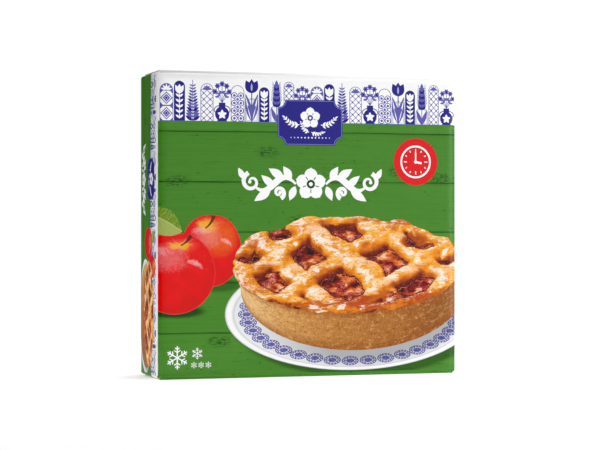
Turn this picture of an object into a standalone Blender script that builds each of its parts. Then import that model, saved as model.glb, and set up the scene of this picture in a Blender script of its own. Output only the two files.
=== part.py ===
"""A shut folding carton for a frozen pie, standing on its bottom end.

The carton is a sleeve of board, closed at both ends by glued flaps. Its front panel
faces -Y, its left side -X, and the origin is at the middle of the underside. The
layers of board that show are built as blocks that overlap: the sleeve, and the inner
and outer flap of each end. One union makes them a single solid. The glued seam is then
cut along the rear right corner, and the four panels are bowed a little, as the food
inside pushes them out.
"""

from math import radians

import bmesh
import bpy
from mathutils import Vector

# Driving dimensions, in metres
WIDTH = 0.240
DEPTH = 0.054
HEIGHT = 0.230
BOARD = 0.0005
FOLD_RADIUS = 0.0020
FOLD_SEGMENTS = 5
PANEL_BOW = 0.0008
SIDE_BOW = 0.0004

# How far the cut edges of the board stop short of the folds
OUTER_FLAP_SIDE_GAP = 0.0022
INNER_FLAP_SIDE_GAP = 0.0030
OUTER_FLAP_FREE_GAP = 0.0036
INNER_FLAP_FREE_GAP = 0.0120
FLAP_CORNER = 0.0030
SEAM_GAP = 0.0024

# The panels are cut on a grid of about this pitch, so that they can bow
GRID_PITCH = 0.016

# Points nearer than this are one point
SAME_PLACE = 0.000002

BOARD_GREEN = (0.067, 0.231, 0.031, 1.0)
BOARD_ROUGHNESS = 0.38

# The sleeve between its folds, without the bow of the panels
X_FOLD = WIDTH / 2 - SIDE_BOW
Y_FOLD = DEPTH / 2 - PANEL_BOW
STACK = 2 * BOARD


def clear_scene():
    for obj in list(bpy.data.objects):
        bpy.data.objects.remove(obj)


def new_collection(name):
    collection = bpy.data.collections.new(name)
    bpy.context.scene.collection.children.link(collection)
    return collection


def box_shape(low, high):
    """A box between two corners, as a bmesh."""
    shape = bmesh.new()
    bmesh.ops.create_cube(shape, size=1.0)
    for vert in shape.verts:
        vert.co = [high[i] if vert.co[i] > 0 else low[i] for i in range(3)]
    return shape


def bevel_edges(shape, axis, width, is_wanted, segments=FOLD_SEGMENTS):
    """Bevels the edges that run along one axis and whose middle passes the test."""
    chosen = []
    for edge in shape.edges:
        start, end = edge.verts[0].co, edge.verts[1].co
        if abs(end[axis] - start[axis]) > width and is_wanted((start + end) / 2):
            chosen.append(edge)
    bmesh.ops.bevel(
        shape, geom=chosen, offset=width, segments=segments, profile=0.5, affect="EDGES"
    )


def add_object(name, shape, collection):
    """Turns a bmesh into an object of the collection."""
    mesh = bpy.data.meshes.new(name)
    shape.to_mesh(mesh)
    shape.free()
    obj = bpy.data.objects.new(name, mesh)
    collection.objects.link(obj)
    return obj


def combine(obj, operation, collection):
    """Applies one Boolean of the object with all of a collection, and empties that."""
    modifier = obj.modifiers.new(operation.title(), "BOOLEAN")
    modifier.operation = operation
    modifier.solver = "EXACT"
    modifier.operand_type = "COLLECTION"
    modifier.collection = collection
    evaluated = obj.evaluated_get(bpy.context.evaluated_depsgraph_get())
    obj.data = bpy.data.meshes.new_from_object(evaluated)
    obj.modifiers.clear()
    for other in list(collection.objects):
        bpy.data.objects.remove(other)
    bpy.data.collections.remove(collection)


def sleeve(name, collection):
    """The four walls and the dust flaps that fold in from the sides."""
    shape = box_shape((-X_FOLD, -Y_FOLD, STACK), (X_FOLD, Y_FOLD, HEIGHT - STACK))
    bmesh.ops.bevel(
        shape,
        geom=shape.edges,
        offset=FOLD_RADIUS,
        segments=FOLD_SEGMENTS,
        profile=0.5,
        affect="EDGES",
    )
    return add_object(name, shape, collection)


def flap_pair(name, hinge_side, side_gap, free_gap, margin, collection):
    """One flap of each end, as a block as tall as their outer faces are apart.

    hinge_side is -1 where the flaps hang on the front panel and +1 where they hang on
    the back. margin is how far their faces lie in from the carton's ends. The corners
    of the free edge are cut off by the die.
    """
    hinge = hinge_side * Y_FOLD
    free = hinge_side * (free_gap - Y_FOLD)
    half_width = X_FOLD - side_gap
    shape = box_shape(
        (-half_width, min(hinge, free), margin),
        (half_width, max(hinge, free), HEIGHT - margin),
    )
    middle = (hinge + free) / 2
    bevel_edges(shape, 0, FOLD_RADIUS, lambda at: (at.y - middle) * hinge_side > 0)
    bevel_edges(
        shape, 2, FLAP_CORNER, lambda at: (at.y - middle) * hinge_side < 0, segments=1
    )
    return add_object(name, shape, collection)


def seam_cutter(collection):
    """What the back panel's cut edge leaves free above the fold of the right side."""
    shape = box_shape(
        (X_FOLD - SEAM_GAP, Y_FOLD - BOARD, -HEIGHT), (WIDTH, DEPTH, 2 * HEIGHT)
    )
    cutter = add_object("Seam cutter", shape, collection)
    cutter.hide_render = True
    cutter.display_type = "WIRE"
    return cutter


def bow_panels(mesh):
    """Cuts the mesh on a grid and lets each of the four panels bulge outwards."""
    shape = bmesh.new()
    shape.from_mesh(mesh)
    bmesh.ops.remove_doubles(shape, verts=shape.verts, dist=SAME_PLACE)
    bmesh.ops.dissolve_limit(
        shape, angle_limit=radians(0.5), verts=shape.verts, edges=shape.edges
    )
    middle = Vector((0.0, 0.0, HEIGHT / 2))
    reach = Vector((X_FOLD, Y_FOLD, HEIGHT / 2 - STACK)) - Vector((1, 1, 1)) * FOLD_RADIUS
    for axis in range(3):
        normal = Vector((0.0, 0.0, 0.0))
        normal[axis] = 1.0
        half_steps = round(reach[axis] / GRID_PITCH)
        for step in range(1 - half_steps, half_steps):
            bmesh.ops.bisect_plane(
                shape,
                geom=shape.verts[:] + shape.edges[:] + shape.faces[:],
                dist=SAME_PLACE,
                plane_co=middle + normal * reach[axis] * step / half_steps,
                plane_no=normal,
            )

    def swell(across, up):
        """1 in the middle of a panel, falling to 0 at its folds."""
        return max(0.0, 1 - across * across) * max(0.0, 1 - up * up)

    for vert in shape.verts:
        share = [(vert.co[i] - middle[i]) / reach[i] for i in range(3)]
        outwards = [1 if vert.co[i] > 0 else -1 for i in range(3)]
        if abs(abs(vert.co.y) - Y_FOLD) < SAME_PLACE:
            vert.co.y += outwards[1] * PANEL_BOW * swell(share[0], share[2])
        elif abs(abs(vert.co.x) - X_FOLD) < SAME_PLACE:
            vert.co.x += outwards[0] * SIDE_BOW * swell(share[1], share[2])
    bmesh.ops.triangulate(shape, faces=shape.faces)
    shape.to_mesh(mesh)
    shape.free()


def printed_board():
    """The varnished green of the printed board."""
    material = bpy.data.materials.new("Printed board")
    material.use_nodes = True
    shader = material.node_tree.nodes["Principled BSDF"]
    shader.inputs["Base Color"].default_value = BOARD_GREEN
    shader.inputs["Roughness"].default_value = BOARD_ROUGHNESS
    shader.inputs["Metallic"].default_value = 0.0
    return material


def main():
    clear_scene()
    parts = new_collection("Pie carton")
    carton = sleeve("carton", parts)

    flaps = new_collection("Flaps")
    flap_pair("Inner flaps", 1, INNER_FLAP_SIDE_GAP, INNER_FLAP_FREE_GAP, BOARD, flaps)
    flap_pair("Outer flaps", -1, OUTER_FLAP_SIDE_GAP, OUTER_FLAP_FREE_GAP, 0.0, flaps)
    combine(carton, "UNION", flaps)

    cutters = new_collection("Cutters")
    seam_cutter(cutters)
    combine(carton, "DIFFERENCE", cutters)

    bow_panels(carton.data)
    carton.data.shade_smooth()
    carton.data.set_sharp_from_angle(angle=radians(30))
    carton.data.materials.append(printed_board())


main()
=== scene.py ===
# %% [markdown]
# # A carton for a frozen pie
#
# The object is a shut folding carton, printed on all six faces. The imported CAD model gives
# its form: a sleeve with rounded folds and slightly bowed panels, closed at both ends by
# glued flaps. This script gives it its print, its varnish and its cut edges.
#
# A printer sees a carton as flat panels, and this script does the same. Each panel's
# artwork is drawn flat, out of plain shapes, and is then folded onto the carton.

import cmath
from math import atan2, ceil, cos, degrees, hypot, pi, radians, sin, sqrt

import bmesh
import bpy
import numpy as np
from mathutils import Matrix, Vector
from mathutils.geometry import delaunay_2d_cdt


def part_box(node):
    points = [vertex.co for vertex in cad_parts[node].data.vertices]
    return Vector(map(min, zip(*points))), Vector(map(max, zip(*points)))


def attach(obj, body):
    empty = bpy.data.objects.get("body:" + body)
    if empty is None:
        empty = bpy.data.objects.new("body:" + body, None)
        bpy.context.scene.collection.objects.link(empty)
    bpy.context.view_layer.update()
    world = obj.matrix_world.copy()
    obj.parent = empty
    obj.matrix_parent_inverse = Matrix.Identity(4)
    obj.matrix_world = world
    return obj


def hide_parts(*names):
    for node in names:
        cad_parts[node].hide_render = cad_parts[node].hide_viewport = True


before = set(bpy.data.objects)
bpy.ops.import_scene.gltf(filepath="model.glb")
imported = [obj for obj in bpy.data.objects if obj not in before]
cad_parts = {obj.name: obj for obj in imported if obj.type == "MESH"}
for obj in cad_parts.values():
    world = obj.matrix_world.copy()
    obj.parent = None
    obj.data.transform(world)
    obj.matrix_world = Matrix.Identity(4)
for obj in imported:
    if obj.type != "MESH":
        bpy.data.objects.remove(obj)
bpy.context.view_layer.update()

# %% [markdown]
# ## Sizes
#
# The carton's box comes from the CAD model. The rest are sizes of its board: the radius of
# a fold, the thickness of the board, and how far a panel bulges in its middle. The artwork
# is drawn in millimetres, and everything in Blender is in metres.

# %% Sizes of the carton
MM = 0.001
LOW, HIGH = (Vector(corner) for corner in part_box("carton"))
WIDTH, DEPTH, HEIGHT = (HIGH - LOW) / MM
FOLD_RADIUS = 2.0
BOARD = 0.5
PANEL_BOW = 0.8
SIDE_BOW = 0.4
X_FOLD = WIDTH / 2 - SIDE_BOW
Y_FOLD = DEPTH / 2 - PANEL_BOW

# Above and below these heights the flaps of the two ends take over from the panels
PANEL_FOOT = 2 * BOARD + FOLD_RADIUS
PANEL_TOP = HEIGHT - PANEL_FOOT

# Where the cut edges of the board lie, in from the folds
SEAM_GAP = 2.4
FLAP_SIDE_GAP = 2.2
FLAP_FREE_GAP = 3.6
FLAP_CORNER = 3.0
print(f"carton {WIDTH:.1f} x {DEPTH:.1f} x {HEIGHT:.1f} mm")

# %% [markdown]
# ## Materials from expressions
#
# A material is a small graph of nodes, and its formulas read best as Python. `Wire` wraps
# one output of a node, and Python's operators on it add the Math nodes that do the sum.
# Where a step from one state to another should be soft, `ease` and `fades` add it.

# %% Wires
def rgb(red, green, blue):
    """A colour given as on a screen, from 0 to 255, as the linear values of a node."""
    shares = [level / 255 for level in (red, green, blue)]
    linear = [s / 12.92 if s <= 0.04045 else ((s + 0.055) / 1.055) ** 2.4 for s in shares]
    return (*linear, 1.0)


class Wire:
    """A node's output, on which Python's operators add Math nodes."""

    def __init__(self, finish, socket):
        self.finish, self.socket = finish, socket

    def __abs__(self):
        return self.finish.math("ABSOLUTE", self)

    def ease(self, low, high, to_low=0.0, to_high=1.0):
        """0 below low and 1 above high, with a soft step between them."""
        settings = {"interpolation_type": "SMOOTHSTEP"}
        values = (self, low, high, to_low, to_high)
        return self.finish.node("ShaderNodeMapRange", settings, values)

    def fades(self, low, high, depth=1.0):
        """depth below low and 0 above high, with a soft step between them."""
        return self.ease(low, high, depth, 0.0)


def operator(operation, reflected=False):
    """A method for one sign. In its reflected form the wire stands behind the sign."""

    def method(wire, other):
        pair = (other, wire) if reflected else (wire, other)
        return wire.finish.math(operation, *pair)

    return method


OPERATORS = {
    "add": "ADD", "sub": "SUBTRACT", "mul": "MULTIPLY", "truediv": "DIVIDE", "pow": "POWER"
}
for sign, operation in OPERATORS.items():
    setattr(Wire, f"__{sign}__", operator(operation))
    setattr(Wire, f"__r{sign}__", operator(operation, reflected=True))
print("a colour on the screen and in a node", (73, 132, 49), rgb(73, 132, 49)[:3])

# %% [markdown]
# `Finish` holds one new material, or the world. Its `node` makes any node, with its settings
# first and then the values or wires of its sockets. Where a colour is asked for, three
# numbers are its red, green and blue as on a screen. Where a vector is, a tuple with wires
# in it will do. A print is laid down coat by coat, and so is its colour here: `coats` takes
# them in turn.

# %% Finishes
class Finish:
    """One new data-block, a material or a world: its shader and the nodes that feed it."""

    def __init__(self, name, kind="materials", shader="Principled BSDF", **constants):
        self.block = getattr(bpy.data, kind).new(name)
        self.block.use_nodes = True
        self.tree = self.block.node_tree
        self.shader = self.tree.nodes[shader]
        self.drive(**constants)

    def node(self, kind, settings=None, values=(), output=0, stops=(), **named):
        """Any node. values go by number: in order, or as a dictionary."""
        node = self.tree.nodes.new(kind)
        for setting, value in (settings or {}).items():
            setattr(node, setting, value)
        for i, (place, tone) in enumerate(stops):
            elements = node.color_ramp.elements
            element = elements[i] if i < 2 else elements.new(place)
            element.position, element.color = place, rgb(*tone)
        numbered = values.items() if isinstance(values, dict) else enumerate(values)
        for key, value in (*numbered, *named.items()):
            self.plug(node.inputs, key, value)
        return Wire(self, node.outputs[output])

    def plug(self, sockets, key, value):
        """Sets a socket or links a wire to it. A tuple with wires in it is a vector."""
        socket = sockets[key.replace("_", " ") if isinstance(key, str) else key]
        if isinstance(value, tuple) and any(isinstance(part, Wire) for part in value):
            value = self.node("ShaderNodeCombineXYZ", None, value)
        if isinstance(value, Wire):
            self.tree.links.new(value.socket, socket)
        else:
            socket.default_value = value

    def drive(self, **sockets):
        """Sets or links sockets of the shader."""
        for key, value in sockets.items():
            self.plug(self.shader.inputs, key, value)
        return self.block

    def math(self, operation, *values):
        return self.node("ShaderNodeMath", {"operation": operation}, values)

    def mix(self, first, second, share, blend="MIX"):
        """The second colour laid over the first. At share 0 only the first shows."""
        values = {0: share, 6: first, 7: second}
        for key in (6, 7):
            if isinstance(values[key], tuple) and len(values[key]) == 3:
                values[key] = rgb(*values[key])
        settings = {"data_type": "RGBA", "blend_type": blend}
        return self.node("ShaderNodeMix", settings, values, 2)

    def coats(self, colour, *coats):
        """Lays coats over a colour in turn: each one's tone, and how much of it shows."""
        for tone, share in coats:
            colour = self.mix(colour, tone, share)
        return colour

    def ramp(self, value, *stops):
        """A colour that follows a value from stop to stop."""
        low, high = stops[0][0], stops[-1][0]
        placed = [((place - low) / (high - low), tone) for place, tone in stops]
        value = (value - low) / (high - low)
        return self.node("ShaderNodeValToRGB", None, (value,), stops=placed)

    def parts(self, vector):
        """The three numbers of a vector."""
        first = self.node("ShaderNodeSeparateXYZ", None, (vector,))
        return [Wire(self, socket) for socket in first.socket.node.outputs]

    def attribute(self, name):
        """The three numbers that the mesh carries under this name."""
        settings = {"attribute_name": name}
        return self.parts(self.node("ShaderNodeAttribute", settings, output=1))

    def noise(self, place, scale=1.0, **more):
        """Soft random lumps between 0 and 1, about as wide as 1 / scale."""
        sockets = {key.capitalize(): value for key, value in more.items()}
        return self.node("ShaderNodeTexNoise", Vector=place, Scale=scale, **sockets)

    def cells(self, place, scale=1.0, output=0):
        """How far the nearest of many scattered points is, or with output 1 its colour."""
        return self.node("ShaderNodeTexVoronoi", output=output, Vector=place, Scale=scale)

    def bump(self, height, strength, distance):
        return self.node("ShaderNodeBump", Height=height, Strength=strength, Distance=distance)


print("signs that wires understand", sorted(OPERATORS))

# %% [markdown]
# ## Flat artwork
#
# A point of the flat artwork is a complex number: its real part runs to the right and its
# imaginary part up, in millimetres. Turning and scaling a shape is then one product. The
# helpers below return outlines as lists of points.

# %% Outlines
def turned(angle):
    """The direction at this angle in degrees, anticlockwise from the right."""
    return cmath.exp(1j * radians(angle))


def shares(steps):
    """The numbers from 0 to 1, in equal steps."""
    return [i / steps for i in range(steps + 1)]


def clip(value):
    """The number, kept between 0 and 1."""
    return min(1.0, max(0.0, value))


def oval(centre, across, up, steps=40, start=0.0, end=360.0):
    """Points round an oval, given by its two half widths, or along an arc of it."""
    count = steps if abs(end - start) >= 360 else steps + 1
    angles = [radians(start + (end - start) * i / steps) for i in range(count)]
    return [centre + across * cos(a) + 1j * up * sin(a) for a in angles]


def rectangle(low, high):
    return [low, complex(high.real, low.imag), high, complex(low.real, high.imag)]


print("corners of a square", rectangle(0, 10 + 10j))

# %% Curves, leaves and ribbons
def bend(start, end, sag, steps=12):
    """A curve from start to end that bulges to its left by a share of its length."""
    chord = end - start
    return [start + chord * (t + 1j * sag * 4 * t * (1 - t)) for t in shares(steps)]


def petal(start, end, width, steps=10):
    """A pointed leaf, its full width given as a share of its length."""
    shape = [sin(pi * (i / steps) ** 0.85) for i in range(steps + 1)]
    chord = end - start
    left = [start + chord * (i / steps + 0.5j * width * shape[i]) for i in range(steps + 1)]
    right = [start + chord * (i / steps - 0.5j * width * shape[i]) for i in range(steps)]
    return left + right[:0:-1]


def ribbon(line, width):
    """A band along a line. width is one number, or a function of the share of the way."""
    last = len(line) - 1
    sides = []
    for i, point in enumerate(line):
        way = line[min(i + 1, last)] - line[max(i - 1, 0)]
        full = width(i / last) if callable(width) else width
        sides.append((point, 0.5j * full * way / abs(way)))
    return [point + side for point, side in sides] + [
        point - side for point, side in reversed(sides)
    ]


print("a petal has", len(petal(0, 10, 0.4)), "points")

# %% [markdown]
# ## From shapes to a folded mesh
#
# A printer lays inks one over another, and the topmost one shows. `Sheet` keeps the shapes
# of one panel in that order. When it is folded, all outlines are cut into one net of
# triangles, with Blender's constrained Delaunay triangulation, which also says which
# shapes cover each triangle. The topmost one gives the triangle its ink. So the print is
# not a picture: its edges are edges of the mesh, and stay sharp at any distance.
#
# Each corner of a triangle carries two sets of three numbers for the materials. `picture`
# is its place within its shape, and `sheet` its place on the panel. `Pen` draws on a sheet
# from a place, a scale and a turn of its own, so one motif can serve several panels.

# %% Sheets
class Sheet:
    """The flat print of one panel, as outlines in the order they are printed."""

    def __init__(self, border, ground):
        self.border = border
        self.layers = [(border, ground, lambda x, y: (x, y, 0.0), 0, 1)]
        self.guides = []
        self.dots = []

    def net(self):
        """Cuts the sheet along all outlines: points, triangles and each one's layer."""
        points, edges, faces = [], [], []
        for outline, *_ in self.layers:
            pairs = zip(outline, outline[1:] + outline[:1])
            area = sum((a.conjugate() * b).imag for a, b in pairs)
            corners = [len(points) + i for i in range(len(outline))]
            faces.append(corners if area > 0 else corners[::-1])
            points += outline
        for line in self.guides:
            edges += [(len(points) + i, len(points) + i + 1) for i in range(len(line) - 1)]
            points += line
        points += self.dots
        flat = [Vector((point.real, point.imag)) for point in points]
        found, _, triangles, _, _, covers = delaunay_2d_cdt(flat, edges, faces, 0, 1e-4, True)
        kept = [(tri, max(cover)) for tri, cover in zip(triangles, covers) if 0 in cover]
        return [complex(*point) for point in found], kept


trial = Sheet(rectangle(0, 10 + 10j), "white")
print("an empty square makes", len(trial.net()[1]), "triangles")

# %% Pens
class Pen:
    """Draws on a sheet from an own origin, with an own scale and turn."""

    def __init__(self, sheet, origin=0, factor=1):
        self.sheet = sheet
        self.origin = origin
        self.factor = factor

    def at(self, origin, factor=1):
        return Pen(self.sheet, self.origin + self.factor * origin, self.factor * factor)

    def placed(self, line):
        return [self.origin + self.factor * point for point in line]

    def fill(self, outline, ink, picture=lambda x, y: (x, y, 0.0)):
        """Prints a shape. picture turns a point of it into the numbers its ink reads."""
        layer = (self.placed(outline), ink, picture, self.origin, self.factor)
        self.sheet.layers.append(layer)

    def disc(self, centre, radius, ink, steps=12):
        self.fill(oval(centre, radius, radius, steps), ink)

    def stroke(self, line, width, ink):
        self.fill(ribbon(line, width), ink)

    def guide(self, line):
        """An edge for the mesh to follow, with no ink."""
        self.sheet.guides.append(self.placed(line))

    def dots(self, places):
        """Points for the mesh to take in, where an ink needs its numbers closely."""
        self.sheet.dots += self.placed(places)


def shapes_in(motif, *sizes):
    """How many shapes a motif lays on a sheet."""
    trial = Sheet(rectangle(0, 100 + 100j), "white")
    motif(Pen(trial), *sizes)
    return len(trial.layers) - 1


Pen(trial).fill(petal(1 + 1j, 9 + 9j, 0.4), "line")
print("with a petal on it, it makes", len(trial.net()[1]), "triangles")

# %% [markdown]
# ## Folding
#
# A wall of the carton is flat up to its folds, where the board turns through an eighth of a
# circle to meet the next wall. The filled carton also pushes each wall out a little in its
# middle. `Panel` knows where a point of the flat sheet lies after that, and which way the
# board faces there.

# %% Panels
# Over the last millimetres before a fold the normals already lean towards it a little. The lean
# turns only the normals, not the points of the board.
SETTLES, SETTLED = 6.0, radians(20)


class Panel:
    """Where a flat sheet lies on the carton. half is how far its flat part reaches."""

    def __init__(self, right, up, distance, half, bow=0.0):
        self.right, self.up = Vector(right), Vector(up)
        self.out = self.right.cross(self.up)
        self.distance, self.half, self.bow = distance, half, bow

    def place(self, point):
        """The place in space of a point of the sheet, in millimetres, and its normal."""
        across, height = point.real, point.imag
        past = max(0.0, abs(across) - self.half)
        side = 1 if across > 0 else -1
        angle = past / FOLD_RADIUS
        near = clip(1 - max(0.0, self.half - abs(across)) / SETTLES)
        leans = SETTLED * near**1.5 * (1 - 4 * angle / pi) + angle if self.bow else 0.0
        normal = self.out * cos(leans) + self.right * (side * sin(leans))
        out = self.distance - FOLD_RADIUS * (1 - cos(angle))
        if past:
            across = side * (self.half + FOLD_RADIUS * sin(angle))
        if self.bow:
            share = across / self.half
            rise = (2 * height - HEIGHT) / (PANEL_TOP - PANEL_FOOT)
            sideways, upright = clip(1 - share * share), clip(1 - rise * rise)
            out += self.bow * sideways * upright
            normal += self.right * (2 * self.bow * share / self.half * upright)
        return self.right * across + self.up * height + self.out * out, normal.normalized()


# How far the print runs round a fold, up to the middle of its bend
EIGHTH = FOLD_RADIUS * pi / 4

# How far out a wide and a narrow wall stand, how far their flat part reaches, and the bow
WIDE = (Y_FOLD, X_FOLD - FOLD_RADIUS, PANEL_BOW)
NARROW = (X_FOLD, Y_FOLD - FOLD_RADIUS, SIDE_BOW)
FRONT, BACK = Panel((1, 0, 0), (0, 0, 1), *WIDE), Panel((-1, 0, 0), (0, 0, 1), *WIDE)
LEFT, RIGHT = Panel((0, -1, 0), (0, 0, 1), *NARROW), Panel((0, 1, 0), (0, 0, 1), *NARROW)
TOP, BOTTOM = Panel((1, 0, 0), (0, 1, 0), HEIGHT, WIDTH), Panel((-1, 0, 0), (0, 1, 0), 0, WIDTH)
print("the front's lower left corner lies at", FRONT.place(complex(-FRONT.half, PANEL_FOOT))[0])

# %% [markdown]
# A sheet needs edges where its panel bends: upright lines through the folds, and a loose
# grid of points over the bulge. `finish_piece` then gives a mesh its inks and the numbers
# that they read, hangs it on the root body and hides the CAD carton that it takes the place of.

# %% From sheets to pieces
def linked(name, data):
    """A new object of the scene with this mesh, lamp or camera."""
    thing = bpy.data.objects.new(name, data)
    bpy.context.scene.collection.objects.link(thing)
    return thing


def finish_piece(mesh, inks, **numbers):
    """Makes a printed piece of the carton out of a mesh and the numbers of its corners."""
    for ink in inks:
        mesh.materials.append(INKS[ink])
    for label, values in numbers.items():
        attribute = mesh.attributes.new(label, "FLOAT_VECTOR", "CORNER")
        attribute.data.foreach_set("vector", np.ravel(values))
    piece = linked(mesh.name, mesh)
    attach(piece, "root")
    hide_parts("carton")
    print(mesh.name, "has", len(mesh.polygons), "faces")


print("pieces can replace", sorted(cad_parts))

# %% Lines that follow the folds
def corners_of(outline):
    """The lower left and upper right corner of the box round an outline."""
    low = complex(min(p.real for p in outline), min(p.imag for p in outline))
    high = complex(max(p.real for p in outline), max(p.imag for p in outline))
    return low, high


def add_folds(sheet, panel, step=2.0):
    """Upright lines through the folds, and a grid of points where the panel bows."""
    low, high = corners_of(sheet.border)
    rows = ceil((high - low).imag / step)
    heights = [low.imag + (high - low).imag * i / rows for i in range(rows + 1)]
    for side in (-1, 1):
        for i in range(5):
            across = side * (panel.half + EIGHTH * i / 5)
            if low.real < across < high.real:
                sheet.guides.append([complex(across, height) for height in heights])
    columns = ceil((high - low).real / 8)
    for i in range(1, columns):
        across = low.real + (high - low).real * i / columns
        sheet.dots += [complex(across, height) for height in heights[2:-2:4]]


print("corners of a petal", corners_of(petal(0, 10, 0.4)))

# %% Folding a sheet
def fold_sheet(name, sheet, panel):
    """Makes the mesh of one printed panel, with its inks and the inks' numbers."""
    if panel.bow:
        add_folds(sheet, panel)
    points, triangles = sheet.net()
    used = sorted({i for tri, _ in triangles for i in tri})
    new = {old: i for i, old in enumerate(used)}
    placed = [panel.place(points[i]) for i in used]
    mesh = bpy.data.meshes.new(name)
    faces = [[new[i] for i in tri] for tri, _ in triangles]
    mesh.from_pydata([place * MM for place, _ in placed], [], faces)
    inks = sorted({sheet.layers[layer][1] for _, layer in triangles})
    slots = [inks.index(sheet.layers[layer][1]) for _, layer in triangles]
    mesh.polygons.foreach_set("material_index", slots)

    low, high = corners_of(sheet.border)
    picture, on_sheet, uv = [], [], []
    for tri, layer in triangles:
        _, _, locate, origin, factor = sheet.layers[layer]
        for i in tri:
            local = (points[i] - origin) / factor
            share = points[i] - low
            picture += locate(local.real, local.imag)
            on_sheet += [points[i].real, points[i].imag, high.real]
            uv += [share.real / (high - low).real, share.imag / (high - low).imag]
    mesh.uv_layers.new(name="OFBake").data.foreach_set("uv", uv)
    mesh.shade_smooth()
    mesh.normals_split_custom_set_from_vertices([normal for _, normal in placed])
    finish_piece(mesh, inks, picture=picture, sheet=on_sheet)


print("folds begin", FRONT.half, "and", LEFT.half, "mm from the middle of a wall")

# %% [markdown]
# ## The board
#
# Carton board is pressed and coated, then printed and varnished. Its surface is almost
# smooth, with a faint unevenness that shows only as a flicker in the gloss. At the folds the
# varnish cracks, and a little of the pale board shows through. Every ink gets this board
# under it, so each material below gives only its colour.

# %% Varnished board
BOARD_WHITE = (232, 230, 224)

# What the varnish adds to every colour by its reflections, as a linear value
SHEEN = 0.017


def varnished(name, colour, gloss=0.58):
    """A material of printed board. colour is a screen colour, or a function that wires one."""
    finish = Finish(name, Coat_Weight=0.05, Coat_Roughness=0.2, IOR=1.30)
    if callable(colour):
        colour = finish.mix(colour(finish), (SHEEN, SHEEN, SHEEN, 1.0), 1.0, "SUBTRACT")
    else:
        colour = (*(max(0.002, part - SHEEN) for part in rgb(*colour)[:3]), 1.0)
    across, up, edge = finish.attribute("sheet")
    mottle = finish.noise((across, up, edge), scale=0.35, detail=3.0)
    from_edge = edge - abs(across)
    rubbed = finish.noise((across * 0.5, up * 0.22, edge), detail=4.0)
    wear = from_edge.fades(0.0, 0.85) * rubbed.ease(0.46, 0.66)
    fibre = finish.noise((across, up, edge), scale=2.6, detail=3.0, roughness=0.6)
    return finish.drive(
        Base_Color=finish.coats(
            colour, ((0, 0, 0), (mottle - 0.35) * 0.05), (BOARD_WHITE, wear * 0.3)
        ),
        Roughness=gloss + 0.10 * mottle + 0.25 * wear - from_edge.fades(2.2, 5.0, 0.44),
        Normal=finish.bump(fibre, 0.18, 0.00005),
    )


INKS = {
    "white": varnished("White_field", (248, 248, 249)),
    "lace": varnished("Pale_blue_ink", (174, 173, 216)),
    "line": varnished("Line_blue_ink", (98, 95, 172)),
    "indigo": varnished("Indigo_ink", (48, 45, 132), 0.55),
    "inset": varnished("Inset_blue_ink", (134, 132, 196)),
    "signal_red": varnished("Signal_red_ink", (218, 15, 42), 0.55),
    "panel_cream": varnished("Cream_ink", (240, 236, 220)),
    "deep_green": varnished("Deep_green_ink", (42, 84, 32)),
}
print("plain inks", sorted(INKS))

# %% [markdown]
# ## Painted planks
#
# The ground of the print is a wall of boards painted green. It could be drawn as shapes,
# but grain has no edges, so the material works it out from the place on the artwork: the
# distance to the next joint between two boards makes a dark line, and stretched noise makes
# the grain and short cracks. The third number of `picture` is how deep a shadow lies there.

# %% Planks
PLANK = 37.7
FIRST_JOINT = 34.2
KNOTS = (
    (-8.0, 118.0), (-72.0, 28.0), (72.0, 156.0), (106.0, 151.0), (-34.0, 170.0), (-104.0, 148.0)
)


def planks(finish):
    x, y, shadow = finish.attribute("picture")
    sway = finish.noise((x * 0.02, y * 0.01, 3.0), detail=1.0)
    row = (y - FIRST_JOINT) / PLANK + (sway - 0.5) * 0.03
    board = finish.math("FLOOR", row)
    off = (0.5 - abs(finish.math("FRACT", row) - 0.5)) * PLANK
    tone = finish.node("ShaderNodeTexWhiteNoise", {"noise_dimensions": "1D"}, W=board)
    along = (x * 0.015, y * 0.75, board)
    grain = finish.noise(along, detail=5.0, roughness=0.62, distortion=0.35)
    broad = finish.noise((x * 0.03, y * 0.03, 9.0))
    crack = finish.noise((x * 0.045, y, 31.0), detail=3.0, roughness=0.7)
    flecks = finish.cells((x * 0.09, y * 0.2, 2.0))
    colour = finish.coats(
        finish.mix((68, 124, 44), (85, 144, 56), grain * 1.3 + broad * 0.5 - 0.4),
        ((62, 118, 42), tone * 0.3),
        ((42, 90, 28), crack.ease(0.61, 0.72) * 0.85),
        ((40, 86, 28), flecks.fades(0.05, 0.15, 0.6)),
    )
    for knot_x, knot_y in KNOTS:
        apart = ((x - knot_x) * 0.14) ** 2.0 + ((y - knot_y) * 0.3) ** 2.0
        wave = finish.noise((x * 0.3, y * 1.1, knot_x), detail=4.0, roughness=0.65)
        dark = apart.fades(0.0, 3.0) * wave.ease(0.47, 0.56)
        colour = finish.mix(colour, (28, 66, 18), dark * 0.85)

    faint = finish.noise((x * 0.025, board * 7.1, 5.0))
    joint = off.fades(0.10, 0.85) * faint.ease(0.36, 0.64, 0.45, 1.0)
    return finish.coats(
        colour,
        ((54, 106, 34), off.fades(0.4, 2.2, 0.25)),
        ((20, 46, 12), joint * 0.92),
        ((14, 34, 10), shadow),
    )


INKS["planks"] = varnished("Painted_planks", planks)
print("a joint every", PLANK, "mm")

# %% [markdown]
# ## Pictured apples and leaf
#
# An apple on a pack is a picture of a round thing. A disc with one red would look cut out
# of paper, so the ink works out the roundness: from the place within the disc it gets the
# direction that a ball would face there, and from that the light, the shine and the yellow
# flush round the stalk. The third number tells the red apple from the paler one.

# %% Apple skin
# Where the skin shines, as shares of its half widths: place, half widths, tilt, curve, strength
SHINES = (
    (-0.14, 0.36, 0.56, 0.38, 0.10, 0.0, 0.25),
    (0.50, 0.24, 0.26, 0.085, 0.42, 1.1, 0.66),
    (-0.38, 0.52, 0.36, 0.12, -0.10, 0.6, 0.34),
)


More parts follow.
